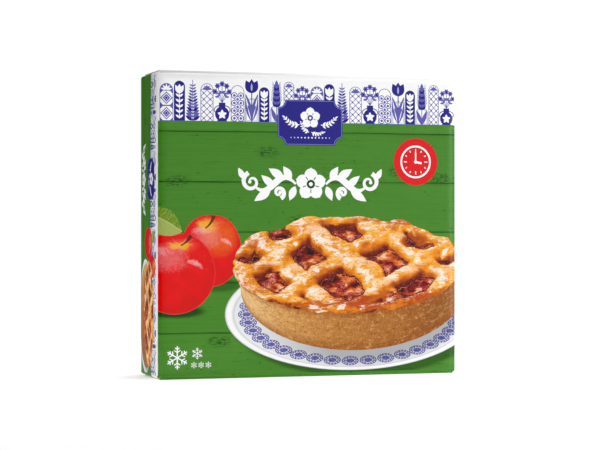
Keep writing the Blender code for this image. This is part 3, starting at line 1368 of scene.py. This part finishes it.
def crossings(line, others, first):
    """Where a strip meets the others, and whether it passes over or under there."""
    meets = []
    for k, other in enumerate(others):
        gap, share = nearest(np.array(other), line)
        if gap.min() < STRIP_HALF:
            meets.append((share[gap.argmin()], 1 if (first + k) % 2 == 0 else -1))
    return sorted(meets)


down = [laid_flat(flowing(line)) for line in STRIPS_DOWN]
upward = [laid_flat(flowing(line)) for line in STRIPS_UP]
print("the first strip meets", crossings(down[0], upward, 0))

# %% [markdown]
# Pastry is never even. `lumps` makes a smooth random field out of numbers on a square grid,
# eased from one to the next. The same helper makes strips thick and thin, dents the rim and
# heaps the fruit.

# %% Lumps and fillets
def lumps(place, size, seed):
    """A smooth, uneven field between -1 and 1, with lumps of about this size in mm."""
    table = np.random.default_rng(seed).uniform(-1, 1, (97, 89))
    place = place * turned(29 * seed + 17) / size + (1000 + 1000j)
    column, row = np.floor(place.real).astype(int), np.floor(place.imag).astype(int)
    across, up = place.real - column, place.imag - row
    across, up = across * across * (3 - 2 * across), up * up * (3 - 2 * up)

    def at(right, over):
        return table[(row + over) % 97, (column + right) % 89]

    near = at(0, 0) * (1 - across) + at(1, 0) * across
    far = at(0, 1) * (1 - across) + at(1, 1) * across
    return near * (1 - up) + far * up


def blend(first, second, softness=1.1):
    """The higher of two heights, with a soft fillet where they meet."""
    return np.logaddexp(first / softness, second / softness) * softness


print("two ridges of height 0 meet at", blend(0.0, 0.0).round(2), "mm")

# %% Heights of the pie
# Where the filling has burst through near the rim of the real round pie, and how widely
BURSTS = ((-53 + 62j, 12.0), (-81 + 13j, 9.0), (59 + 44j, 13.0), (83 + 6j, 9.0))


def crust_heights(place):
    """The height of rim and strips in mm, over the edge of the real round pie."""
    place = place + 3.4 * (lumps(place, 19, 41) + 1j * lumps(place, 19, 42))
    far = abs(place) / PIE_ACROSS + 0.010 * lumps(place, 16, 5)
    rim = np.clip(1 - ((far - 0.925) / 0.080) ** 2, 0, 1) ** 0.5
    top = np.where(rim > 0, 3.6 * rim + 1.1 * lumps(place, 13, 6) - 0.4, -12.0)
    for own, (rows, others) in enumerate(((down, upward), (upward, down))):
        for i, line in enumerate(rows):
            gap, share = nearest(place, line)
            stops, lifts = zip(*crossings(line, others, i + own))
            level = 1.2 * np.interp(share, (0, *stops, 1), (0, *lifts, 0))
            half = STRIP_HALF * (1 + 0.36 * lumps(place, 21, i + 10 * own))
            arch = np.clip(1 - (gap / half) ** 2, 0, 1) ** 0.5
            top = blend(top, np.where(arch > 0, level - 2.6 + 6.6 * arch, -12.0))
    for centre, size in BURSTS:
        top -= 8.5 * np.exp(-(abs(place - centre) / size) ** 4)
    return top + 1.25 * lumps(place, 9, 3) + 0.50 * lumps(place, 4, 8)


def fruit_heights(place):
    """Chunks of fruit that lie a little deeper than the strips."""
    return -2.8 + 3.6 * lumps(place, 12, 21) + 1.3 * lumps(place, 6, 22)


across = np.arange(-PIE_ACROSS - 6, PIE_ACROSS + 6, RELIEF_STEP)
up = np.arange(-45, 45, RELIEF_STEP)
round_pie = across[None, :] + 1j * (up[:, None] - TOP_MIDDLE) / SLANT
crust = crust_heights(round_pie)
fruit = fruit_heights(round_pie)
print("crust from", crust.min().round(1), "to", crust.max().round(1), "mm")

# %% [markdown]
# The light has three parts. Faces turned to the lamp are light. Places that lie deeper than
# what is round them, or that a strip hides from the lamp, are dark. And the glaze gives
# glints where the pastry is tilted so that it mirrors the lamp to the eye.

# %% Light on the pie
def shifted(field, right, over):
    """The field, moved so that each place shows what lies right and over of it."""
    rows, columns = round(over * SLANT / RELIEF_STEP), round(right / RELIEF_STEP)
    return np.roll(field, (-rows, -columns), (0, 1))


def lit_pie(crust, fruit):
    """The number for the ink: 0 to 1 and over on pastry, and below 0 on the filling."""
    height = np.maximum(crust, fruit)
    slope_up, slope_across = np.gradient(height, RELIEF_STEP / SLANT, RELIEF_STEP)
    steep = np.sqrt(1 + slope_across**2 + slope_up**2)
    facing = (0.36 * slope_across - 0.46 * slope_up + 0.81) / steep
    mirroring = (0.27 * slope_across + 0.22 * slope_up + 0.93) / steep
    glazed = np.clip(0.75 + 0.9 * lumps(round_pie, 20, 31), 0.15, 1)
    glint = np.clip((mirroring - 0.955) / 0.04, 0, 1) * glazed

    ring = [reach * turned(45 * i) for reach in (3.0, 6.0) for i in range(8)]
    around = sum(shifted(height, step.real, step.imag) for step in ring) / len(ring)
    buried = np.clip((around - height) / 4.5, 0, 1)
    cast = np.zeros(height.shape)
    for reach in (2.0, 4.0, 6.0, 8.0):
        above = shifted(height, -0.62 * reach, 0.78 * reach) - height - 0.9 * reach
        cast = np.maximum(cast, np.clip(above / 1.2, 0, 1))
    light = np.clip(facing, 0, 1) * (1 - 0.7 * buried) * (1 - 0.45 * cast)
    pastry = 0.78 * light + 0.50 * glint * (1 - buried)
    shaded = 0.30 + 0.70 * np.clip((fruit - crust) / 2.5, 0, 1)
    wet = 0.36 * np.clip(light + 0.35 * glint, 0, 1) * shaded - 1.0
    return np.where(crust > fruit, pastry, wet)


light_field = lit_pie(crust, fruit)
print("light from", light_field.min().round(2), "to", light_field.max().round(2))

# %% The pie at a slant
def seen_at_slant(height, value):
    """What the eye sees of the value. Each pass lifts it by one row more."""
    seen = np.full(height.shape, 0.12)
    shown = np.zeros(height.shape, bool)
    for rows in range(-10, 14):
        stands = np.roll(height, rows, 0) >= rows * RELIEF_STEP / RISE
        seen = np.where(stands, np.roll(value, rows, 0), seen)
        shown |= stands
    return seen, shown


on_pie = abs(round_pie) < PIE_ACROSS
solid = np.where(on_pie, np.maximum(crust, fruit), -50.0)
RELIEF, SHOWN = seen_at_slant(solid, light_field)
TOP_EDGE = [up[column].max() if column.any() else TOP_MIDDLE for column in SHOWN.T]
print("relief", RELIEF.shape, "from", round(RELIEF.min(), 2), "to", round(RELIEF.max(), 2))

# %% [markdown]
# The pie goes onto the sheet as two shapes, its wall and its top. The wall is an oval seen
# below the top. The points that the top's mesh takes in lie about a millimetre apart, as
# close as the print's own dots would be.

# %% Outline and numbers of the pie
def relief_at(x, y):
    """The place on the pie's top in mm, and the relief there."""
    column = min(max((x - across[0]) / RELIEF_STEP, 0), len(across) - 1.001)
    row = min(max((y - up[0]) / RELIEF_STEP, 0), len(up) - 1.001)
    i, k = int(row), int(column)
    over, along = row - i, column - k
    near = RELIEF[i, k] * (1 - along) + RELIEF[i, k + 1] * along
    far = RELIEF[i + 1, k] * (1 - along) + RELIEF[i + 1, k + 1] * along
    return x, y, float(near * (1 - over) + far * over)


def top_outline(steps=110):
    """The outline of the pie's top: its front edge, then the back rim's bumpy skyline."""
    front_edge, skyline = [], []
    for i in range(steps + 1):
        x = -PIE_ACROSS * cos(pi * i / steps)
        low = TOP_MIDDLE - PIE_UP * sin(pi * i / steps)
        ragged = 0.7 * sin(0.31 * x) + 0.5 * sin(0.83 * x + 1) + 0.3 * sin(1.9 * x)
        front_edge.append(complex(x, low + ragged * sin(pi * i / steps)))
        skyline.append(complex(x, max(low + 0.5, float(np.interp(x, across, TOP_EDGE)))))
    return front_edge + skyline[-2:0:-1]


def on_wall(x, y):
    """What the ink of the wall reads: the share across it and the share up it."""
    share = (x - WALL_CENTRE.real) / WALL_ACROSS
    foot = WALL_CENTRE.imag - WALL_DOWN * sqrt(clip(1 - share**2))
    top = TOP_MIDDLE - PIE_UP * sqrt(clip(1 - (x / PIE_ACROSS) ** 2))
    return share, (y - foot) / max(1.0, top - foot), 0.0


print("the top's outline has", len(top_outline()), "points")

# %% Draw the pie
def pie(pen, pitch=1.05):
    """The pie round the middle of its top. pitch is how far apart its mesh points are."""
    wall = oval(WALL_CENTRE, WALL_ACROSS, WALL_DOWN, 60, 180, 360)
    brow = TOP_MIDDLE * 1j
    pen.fill([brow - PIE_ACROSS] + wall + [brow + PIE_ACROSS], "wall", on_wall)
    for i in range(1, 12):
        pen.guide([p + (0.12 * i - 0.02) * 1j * WALL_DOWN for p in wall])
    pen.fill(top_outline(), "pie_top", relief_at)
    pitch /= abs(pen.factor)
    rows = int(PIE_UP / pitch / 0.87)
    for row in range(-rows, rows + 3):
        height = row * pitch * 0.87
        reach = PIE_ACROSS * 0.99 * sqrt(clip(1 - (height / PIE_UP) ** 2))
        count = int(reach / pitch)
        shift = 0.5 * (row % 2)
        middle = shift * pitch + 1j * (height + TOP_MIDDLE + 1)
        pen.dots([middle + k * pitch for k in range(-count, count)])


print("shapes in the pie", shapes_in(pie))

# %% [markdown]
# ## The plate
#
# The plate is an oval with a ring of blue ovals on its rim, a common pattern on painted
# tableware. Each oval is drawn as it would look at the slant of the plate.

# %% Draw the plate
PLATE_ACROSS, PLATE_UP = 103.5, 43.8
MEDALLIONS = 37

# The oval that the pie's shadow on the plate follows: its middle and half widths
SHADE, SHADE_ACROSS, SHADE_UP = 2.0 + 18.0j, 93.0, 51.5


def on_plate(x, y):
    """The place on the plate as shares of its half widths, and the pie's shadow there."""
    from_pie = hypot((x - SHADE.real) / SHADE_ACROSS, (y - SHADE.imag) / SHADE_UP)
    side = clip((x + 80.0) / 60.0)
    shadow = 0.58 * clip((1.17 - from_pie) / 0.17) * (0.15 + 0.85 * side)
    return x / PLATE_ACROSS, y / PLATE_UP, shadow


def plate(pen):
    """A plate round its middle, with a ring of medallions."""
    pen.fill(oval(0, PLATE_ACROSS, PLATE_UP, 120), "plate", on_plate)
    for i in range(8):
        grown = 1 + 0.025 * i
        pen.guide(oval(SHADE, SHADE_ACROSS * grown, SHADE_UP * grown, 90))
    for i in range(MEDALLIONS):
        way = turned(360 * (i + 0.5) / MEDALLIONS)
        spot = 0.835 * complex(PLATE_ACROSS * way.real, PLATE_UP * way.imag)
        medal = pen.at(spot)

        def shaded(x, y, spot=spot):
            return on_plate(x + spot.real, y + spot.imag)

        for share, ink in ((1.0, "plate_blue"), (0.62, "plate"), (0.46, "plate_blue")):
            medal.fill(oval(0, 7.0 * share, 3.6 * share, 20), ink, shaded)
        for k in range(14):
            spoke = turned(360 * k / 14)
            spoke = complex(7.0 * spoke.real, 3.6 * spoke.imag)
            medal.fill(oval(0.80 * spoke, 0.62, 0.40, 6), "plate", shaded)
            if k % 2:
                medal.fill(petal(0.44 * spoke, 0.62 * spoke, 0.7, 5), "plate_blue", shaded)


print("medallions round the plate", MEDALLIONS)

# %% [markdown]
# ## Shadows on the planks
#
# The apples and the plate lie in front of the planks and darken them softly. The planks'
# ink takes the depth of shadow from each corner of the mesh, so a few rings of edges round
# each shadow make it fade smoothly.

# %% Soft shadows
class Shadow:
    """A soft oval shadow: full depth inside it, and gone a share of its size further out."""

    def __init__(self, centre, across, up, depth, soft=0.35):
        self.centre, self.across, self.up = centre, across, up
        self.depth, self.soft = depth, soft

    def at(self, x, y):
        far = hypot((x - self.centre.real) / self.across, (y - self.centre.imag) / self.up)
        share = clip((1 + self.soft - far) / self.soft)
        return self.depth * share * share * (3 - 2 * share)

    def draw_guides(self, pen):
        for i in range(7):
            grown = 1 + self.soft * i / 6
            pen.guide(oval(self.centre, self.across * grown, self.up * grown, 48))


def plank_ground(pen, outline, shadows=()):
    """Fills an outline with the painted planks, with shadows on them."""

    def locate(x, y):
        return x, y, min(0.75, sum(shadow.at(x, y) for shadow in shadows))

    pen.fill(outline, "planks", locate)
    for shadow in shadows:
        shadow.draw_guides(pen)


# %% [markdown]
# ## The front panel
#
# Places on the front were measured in the photograph, where it is 313 by 301 pixels, and
# turned into millimetres from the middle of its lower edge.

# %% The front panel
BAND_FOOT = 192.3
FRONT_EDGE = FRONT.half + EIGHTH
PIE_CENTRE = 31.4 + 86.9j
PLATE_CENTRE = 36.0 + 47.9j
PLAQUE_CENTRE = 192.6j


def wall_border(panel, left=None):
    """The outline of a wall's sheet, from fold to fold or from another left edge."""
    edge = panel.half + EIGHTH
    low = complex(-edge if left is None else left, PANEL_FOOT)
    return rectangle(low, complex(edge, PANEL_TOP))


front = Sheet(wall_border(FRONT), "white")
pen = Pen(front)
shadows = (
    Shadow(-106.0 + 50.5j, 15.0, 3.0, 0.85, 0.9),
    Shadow(-74.0 + 70.0j, 13.0, 3.5, 0.45, 0.9),
    Shadow(PLATE_CENTRE + 6 - 3.4j, PLATE_ACROSS - 3.0, PLATE_UP, 0.55, 0.08),
)
field = rectangle(complex(-130, -5), complex(130, BAND_FOOT))
plank_ground(pen, field, shadows)
blue_border(pen.at(complex(-FRONT_EDGE + 1.2, BAND_FOOT)), 2 * FRONT_EDGE - 2.4)
plaque(pen.at(PLAQUE_CENTRE))
scrollwork(pen.at(0.4 + 146.0j))
clock_disc(pen.at(86.0 + 163.7j))
plate(pen.at(PLATE_CENTRE))
apple(pen.at(-78.2 + 96.4j), *PALER_APPLE)
apple(pen.at(-106.2 + 79.4j), *RED_APPLE)
leaf(pen.at(-100.4 + 110.0j))
frozen_sign(pen.at(-97.4 + 15.8j))
pie(pen.at(PIE_CENTRE))
fold_sheet("Front_panel", front, FRONT)

# %% [markdown]
# ## The narrow sides and the ends
#
# The four narrow faces repeat the front's design at about half its size, turned so that its
# top lies along the front edge: a strip of the blue border, the planks behind it, and the
# plaque, scrolls, apples and pie in a row. The photograph shows the left one. The others
# can't be seen there and follow it.

# %% Narrow panels
# The scale of their planks and border, and how wide the white band is
SMALL, STRIP_BAND = 0.49, 18.5


def narrow_print(name, border, panel, start, way, length):
    """Prints one narrow face, its design running along way from a corner at the front."""
    sheet = Sheet(border, "white")
    pen = Pen(sheet, start, way)
    field = rectangle(complex(-10, -80), complex(length + 10, -STRIP_BAND))
    small = pen.at(-1j * STRIP_BAND, SMALL)
    boards = [(p + 1j * STRIP_BAND) / SMALL + 1j * BAND_FOOT for p in field]
    plank_ground(small.at(-1j * BAND_FOOT), boards)
    blue_border(small.at(3.0), (length - 3.0) / SMALL, 3)
    plaque(pen.at(complex(0.35 * length, -18.2), 0.60))
    scrollwork(pen.at(complex(0.35 * length, -40.0), 0.47))
    plate(pen.at(complex(0.80 * length, -34.5), 0.42))
    apple(pen.at(complex(0.635 * length, -13.8), 0.36), *PALER_APPLE)
    apple(pen.at(complex(0.56 * length, -25.0), 0.38), *RED_APPLE)
    leaf(pen.at(complex(0.562 * length, -14.0), 0.40))
    pie(pen.at(complex(0.79 * length, -24.0), 0.43))
    fold_sheet(name, sheet, panel)


def end_border():
    """The outline of an outer flap: hinged in front, its free corners cut off."""
    side = X_FOLD - FLAP_SIDE_GAP
    front_edge, free = -Y_FOLD + FOLD_RADIUS, Y_FOLD - FLAP_FREE_GAP
    return [
        complex(-side, front_edge),
        complex(side, front_edge),
        complex(side, free - FLAP_CORNER),
        complex(side - FLAP_CORNER, free),
        complex(-side + FLAP_CORNER, free),
        complex(-side, free - FLAP_CORNER),
    ]


SIDE_EDGE = LEFT.half + EIGHTH
narrow_print("Left_panel", wall_border(LEFT), LEFT, complex(SIDE_EDGE, HEIGHT), -1j, HEIGHT)
narrow_print("Right_panel", wall_border(RIGHT), RIGHT, complex(-SIDE_EDGE, 0), 1j, HEIGHT)
for name, panel in (("Top_flap", TOP), ("Bottom_flap", BOTTOM)):
    narrow_print(name, end_border(), panel, complex(X_FOLD, -Y_FOLD), -1, 2 * X_FOLD)

# %% [markdown]
# ## The back panel
#
# The back can't be seen in the photograph, so it is made up in the same style: the planks,
# border, plaque and scrolls again, and a pale card with plain signs, which show that the
# pie is kept frozen, put in the oven, timed and served.

# %% Signs of the back panel
def oven_sign(pen):
    pen.fill(rectangle(-9 - 9j, 9 + 9j), "deep_green")
    pen.fill(rectangle(-7.4 - 7.4j, 7.4 + 7.4j), "panel_cream")
    pen.fill(rectangle(-7.4 + 3.0j, 7.4 + 4.0j), "deep_green")
    for i in range(4):
        pen.disc(-5.1 + 3.4 * i + 5.6j, 0.9, "deep_green")
    pen.fill(rectangle(-5.4 - 5.4j, 5.4 + 1.4j), "deep_green")
    pen.fill(rectangle(-4.4 - 4.4j, 4.4 + 0.4j), "panel_cream")
    pen.fill([-3.4 - 3.2j, 3.4 - 3.2j, 2.6 - 1.4j, -2.6 - 1.4j], "deep_green")


def slice_sign(pen):
    pen.fill([-9 - 4j, 8 - 7j, 8 - 1j, -9 + 1j], "deep_green")
    pen.fill([-9 + 1.8j, 8 - 0.2j, 8.6 + 6.6j, 4.0 + 7.6j], "deep_green")
    pen.fill([-5.4 + 2.2j, 6.6 + 0.9j, 7.0 + 5.6j, 4.0 + 6.3j], "panel_cream")


def clock_sign(pen):
    pen.disc(0, 9, "deep_green", 40)
    pen.disc(0, 7.4, "panel_cream", 40)
    pen.stroke([0, 5.4j], 1.1, "deep_green")
    pen.stroke([0, 3.8 - 1.4j], 1.3, "deep_green")
    pen.disc(0, 1.1, "deep_green", 14)


def frozen_mark(pen):
    snowflake(pen, 9.6, "deep_green")


SIGNS = (frozen_mark, oven_sign, clock_sign, slice_sign)
SIGN_PITCH = 38
print("shapes in the signs", [shapes_in(sign) for sign in SIGNS])

# %% The back panel
# Width, height and scooped corners of the pale card
CARD = (176, 100, 9)
back_left = -(X_FOLD - SEAM_GAP)
back = Sheet(wall_border(BACK, back_left), "white")
pen = Pen(back)
plank_ground(pen, field)
blue_border(pen.at(complex(back_left + 1.0, BAND_FOOT)), FRONT_EDGE - back_left - 2.2, 5)
plaque(pen.at(PLAQUE_CENTRE))
scrollwork(pen.at(158.0j))
card = pen.at(70.0j)
for inset, ink in ((0, "white"), (1.4, "line"), (2.0, "panel_cream")):
    card.fill(plaque_outline(*CARD, inset), ink)
for i, sign in enumerate(SIGNS):
    spot = card.at((i - 1.5) * SIGN_PITCH + 20j)
    sign(spot)
    if i:
        spot.at(-SIGN_PITCH / 2).fill([-2.2 - 3j, 2.6, -2.2 + 3j], "signal_red")
card.fill(rectangle(-74 + 1.0j, 74 + 1.5j), "line")
for side in (card.at(-26j), mirror_pen(card.at(-26j))):
    sprig(side.at(16.0 - 5.0j, 2.3), "deep_green", 15.0)
apple(card.at(-24j, 0.46), *WHOLE_APPLE)
fold_sheet("Back_panel", back, BACK)

# %% [markdown]
# ## Ends, cut edges and the seam
#
# What is left of the carton is small but tells how it is made: the fold that each flap
# hangs on, the steps of the flaps, their cut edges, and the step of the glued seam. These
# come straight from the CAD solid. A copy of it is cut where the panels begin, and the
# faces that the printed sheets replace are taken out. Cut edges show the pale inside of
# the board.

# %% Board seen at the cut
def cut_board():
    finish = Finish("Cut_board", IOR=1.45)
    spot = finish.node("ShaderNodeTexCoord", output=3)
    layers = finish.noise(spot, scale=900.0, detail=3.0)
    colour = finish.mix((214, 206, 190), (176, 164, 144), layers)
    return finish.drive(
        Base_Color=colour,
        Roughness=0.75 + 0.1 * layers,
        Normal=finish.bump(layers, 0.4, 0.0001),
    )


INKS["cut_board"] = cut_board()
print("nodes in the cut board", len(INKS["cut_board"].node_tree.nodes))

# %% Inks of the ends
def cap_ink(centre, normal):
    """Which ink shows on a face that no sheet covers, by its place and the way it looks."""
    from_end = min(centre.z, HEIGHT - centre.z)
    inside = abs(centre.y) < Y_FOLD - 0.01 and abs(centre.x) < X_FOLD - 0.01
    if PANEL_FOOT < centre.z < PANEL_TOP and normal.x > 0.9:
        return "cut_board"
    if inside and abs(normal.z) < 0.3 and from_end < 2 * BOARD + 0.01:
        return "cut_board"
    if normal.y < -0.4 or (normal.y > 0.4 and abs(centre.x) < X_FOLD - 1.0):
        return "white" if centre.z > HEIGHT / 2 else "planks"
    return "white" if centre.y < STRIP_BAND - Y_FOLD else "planks"


print("ink of the middle of the top", cap_ink(Vector((0, 0, HEIGHT)), Vector((0, 0, 1))))

# %% Ends and seam
def ends_and_seam():
    """The parts of the CAD solid that no printed sheet covers, with their inks."""
    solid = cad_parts["carton"]
    shape = bmesh.new()
    shape.from_mesh(solid.data)
    for axis, place in ((2, PANEL_FOOT), (2, PANEL_TOP), (1, STRIP_BAND - Y_FOLD)):
        normal, point = Vector((0, 0, 0)), Vector((0, 0, 0))
        normal[axis], point[axis] = 1.0, place * MM
        bmesh.ops.bisect_plane(
            shape,
            geom=shape.verts[:] + shape.edges[:] + shape.faces[:],
            dist=1e-6,
            plane_co=point,
            plane_no=normal,
        )
    covered = []
    for face in shape.faces:
        centre = face.calc_center_median() / MM
        walled = PANEL_FOOT < centre.z < PANEL_TOP
        seam = centre.x > X_FOLD - SEAM_GAP - 0.01 and centre.y > Y_FOLD - BOARD - 0.01
        flap = abs(face.normal.z) > 0.99 and (centre.z < 0.01 or centre.z > HEIGHT - 0.01)
        if (walled and not seam) or flap:
            covered.append(face)
    bmesh.ops.delete(shape, geom=covered, context="FACES")
    bmesh.ops.remove_doubles(shape, verts=shape.verts, dist=2e-6)

    mesh = bpy.data.meshes.new("Ends_and_seam")
    inks = ["white", "planks", "cut_board"]
    for face in shape.faces:
        centre = face.calc_center_median() / MM
        face.material_index = inks.index(cap_ink(centre, face.normal))
    shape.to_mesh(mesh)
    shape.free()
    places = np.array([mesh.vertices[loop.vertex_index].co for loop in mesh.loops]) / MM
    upright = np.stack([places[:, 0], places[:, 2], np.zeros(len(places))], 1)
    mesh.shade_smooth()
    mesh.set_sharp_from_angle(angle=radians(40))
    finish_piece(mesh, inks, picture=upright, sheet=upright + (0, 0, WIDTH))


ends_and_seam()

# %% [markdown]
# ## Floor, light and camera
#
# The photograph is a product shot on white, with soft light that comes mostly from the
# front right, so that the left side is darker than the front. A white world alone would
# light all sides alike and lay a haze of reflections over the left one. So the world is
# white where the camera looks into it and dim on the left as a light, and three large, soft
# lamps do the rest. The floor is pale and plain.

# %% Floor
FLOOR_RADIUS = 0.45


def studio_floor():
    finish = Finish("Studio_floor", Roughness=0.9, Emission_Strength=0.42)
    spot = finish.node("ShaderNodeTexCoord", output=3)
    grain = finish.noise(spot, scale=40.0, detail=2.0)
    white = finish.mix((250, 250, 250), (246, 246, 246), grain)
    surface = finish.drive(Base_Color=white, Emission_Color=white)
    shape = bmesh.new()
    bmesh.ops.create_circle(shape, cap_ends=True, segments=96, radius=FLOOR_RADIUS)
    mesh = bpy.data.meshes.new("Floor")
    shape.to_mesh(mesh)
    shape.free()
    mesh.materials.append(surface)
    floor = linked("Floor", mesh)


studio_floor()
print("the floor is", 2 * FLOOR_RADIUS, "m wide")

# %% Lamps
def soft_light(name, place, width, height, power):
    """A soft lamp that looks at the middle of the carton."""
    lamp = bpy.data.lights.new(name, "AREA")
    lamp.shape = "RECTANGLE"
    lamp.size, lamp.size_y, lamp.energy = width, height, power
    light = linked(name, lamp)
    light.location = place
    aim = Vector((0, 0, HEIGHT * MM / 2)) - light.location
    light.rotation_euler = aim.to_track_quat("-Z", "Y").to_euler()


soft_light("Right_strip", (1.15, -1.0, 0.25), 0.20, 1.4, 10.3)
soft_light("Top_fill", (0.3, 0.1, 2.4), 2.0, 2.0, 30.0)
soft_light("Left_fill", (-1.6, -0.25, 0.45), 0.8, 0.8, 8.5)
print("lamps", [lamp.name for lamp in bpy.data.lights])

# %% World
def studio_world():
    """White behind, and a softer light that is dark on the left, as beside a screen."""
    finish = Finish("Studio", "worlds", "Background", Color=(1.0, 1.0, 1.0, 1.0))
    right, back, _ = finish.parts(finish.node("ShaderNodeTexCoord"))
    soft = right.ease(-0.02, 0.30, 0.06, 1.0) * back.ease(-0.40, 0.60, 1.0, 1.08)
    camera_ray = finish.node("ShaderNodeLightPath")
    return finish.drive(Strength=finish.math("MAXIMUM", camera_ray, soft))


bpy.context.scene.world = studio_world()
bpy.context.scene.view_settings.view_transform = "Standard"
print("world", bpy.context.scene.world.name)

# %% Camera
CAMERA_PLACE = Vector((-0.446, -1.326, HEIGHT * MM / 2))
CAMERA_TURN = 16.34
FOCAL_LENGTH = 108.5
SHIFT = 0.12

lens = bpy.data.cameras.new("Camera")
lens.lens = FOCAL_LENGTH
lens.sensor_width = 36.0
lens.shift_x = SHIFT
camera = linked("Camera", lens)
camera.location = CAMERA_PLACE
camera.rotation_euler = (radians(90), 0.0, radians(-CAMERA_TURN))
bpy.context.scene.camera = camera
print("camera at", tuple(round(part, 3) for part in CAMERA_PLACE))
